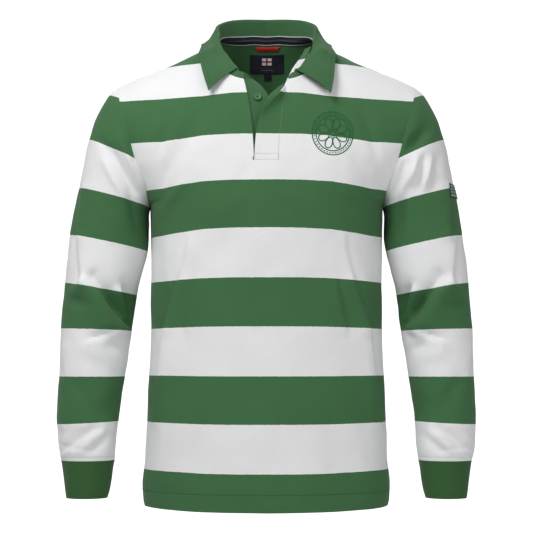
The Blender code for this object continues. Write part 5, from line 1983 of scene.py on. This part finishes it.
def cast_path(trees, stations, count):
    """Points on the front of the shirt under a line of x, z stations."""
    stations = np.array(stations)
    run = path_run(stations)
    at = np.linspace(0, run[-1], count)
    points = []
    normals = []
    for x, z in zip(np.interp(at, run, stations[:, 0]), np.interp(at, run, stations[:, 1])):
        hits = [tree.ray_cast(Vector((x, -0.3, z)), Vector((0, 1, 0))) for tree in trees]
        hits = [hit for hit in hits if hit[0] is not None]
        spot, normal, _, _ = min(hits, key=lambda hit: hit[0].y)
        normal = normal if normal.y < 0 else -normal
        points.append(tuple(spot + normal * STITCH_RADIUS * 0.3))
        normals.append(tuple(normal))
    return np.array(points), np.array(normals)


beside_seam = [(x - 0.0012, z) for x, _, z in flap_points[::4, -1]][:-2]
low_left, low_right = (BOX_LEFT, BOX_LOW), (BOX_RIGHT, BOX_LOW)
foot_box = (low_left, (BOX_LEFT, BOX_HIGH), (BOX_RIGHT, BOX_HIGH), low_right, low_left)
placket_trees = (flap_tree, front_tree)
placket_stitches = sewn_row(
    "placket_stitches",
    [cast_path(placket_trees, beside_seam, 80), cast_path(placket_trees, foot_box, 60)],
    make_thread("grey_green_thread", "#8fa898"),
    "striped_jersey",
    radius=0.00022,
)
bar_points, bar_normals = cast_path((front_tree, under_tree), ((BAR_X, -0.1790), (BAR_X, -0.1835)), 9)
across_bar = np.tile((1.0, 0.0, 0.0), (len(bar_points), 1))
bar_tack = threads(
    "bar_tack", bar_points, across_bar, bar_normals, 0.0017, 0.00028, green_thread, "striped_jersey"
)

# %% [markdown]
# ## Chest motif
# A generic flower of eight petals in rings of green satin stitch on the left of the chest. Each thread
# lies across the line that it covers, as an embroidery machine lays it.

# %% Chest motif
MOTIF_X = 0.103
MOTIF_Z = -0.140
MOTIF_TALL = 1.08
PETALS = 8
PETAL_IN = 0.0065
PETAL_OUT = 0.0236
PETAL_HALF = 0.0062
CENTRE_RING = 0.0042
RING = 0.0262
DOT_RING = 0.0293
OUTER_RING = 0.0322
DOTS = 40
DOT_HALF_TURN = 0.035
SATIN_PITCH = 0.00055
SATIN_LENGTH = 0.0019
SATIN_RADIUS = 0.00029


def petal_line(k):
    turn = 2 * math.pi * (k + 0.5) / PETALS
    line = []
    for t in 2 * math.pi * np.arange(37) / 36:
        out = mix(PETAL_IN, PETAL_OUT, (1 - math.cos(t)) / 2)
        aside = PETAL_HALF * math.sin(t) * mix(0.7, 1.0, (1 - math.cos(t)) / 2)
        x = out * math.cos(turn) - aside * math.sin(turn)
        z = out * math.sin(turn) + aside * math.cos(turn)
        line.append((MOTIF_X + x, MOTIF_Z + z * MOTIF_TALL))
    return line


def ring_line(radius, first=0.0, last=2 * math.pi, steps=96):
    turns = np.linspace(first, last, steps)
    return [(MOTIF_X + radius * math.cos(t), MOTIF_Z + radius * math.sin(t) * MOTIF_TALL) for t in turns]


def dot_line(k):
    middle = 2 * math.pi * k / DOTS
    return ring_line(DOT_RING, middle - DOT_HALF_TURN, middle + DOT_HALF_TURN, 5)


def satin(name, lines):
    """Threads laid across each line, close together."""
    parts = []
    for line in lines:
        places, ahead, outward = along_path(*cast_path((front_tree,), line, 60), SATIN_PITCH)
        parts.append((places, np.cross(unit(ahead), unit(outward)), outward))
    laid = [np.concatenate(values) for values in zip(*parts)]
    return threads(name, *laid, SATIN_LENGTH, SATIN_RADIUS, motif_thread, "striped_jersey")


motif_thread = make_thread("green_embroidery_thread", "#35724a")
motif = [
    satin("motif_petals", [petal_line(k) for k in range(PETALS)]),
    satin("motif_rings", [ring_line(RING), ring_line(OUTER_RING), ring_line(CENTRE_RING, steps=40)]),
    satin("motif_dots", [dot_line(k) for k in range(DOTS)]),
]
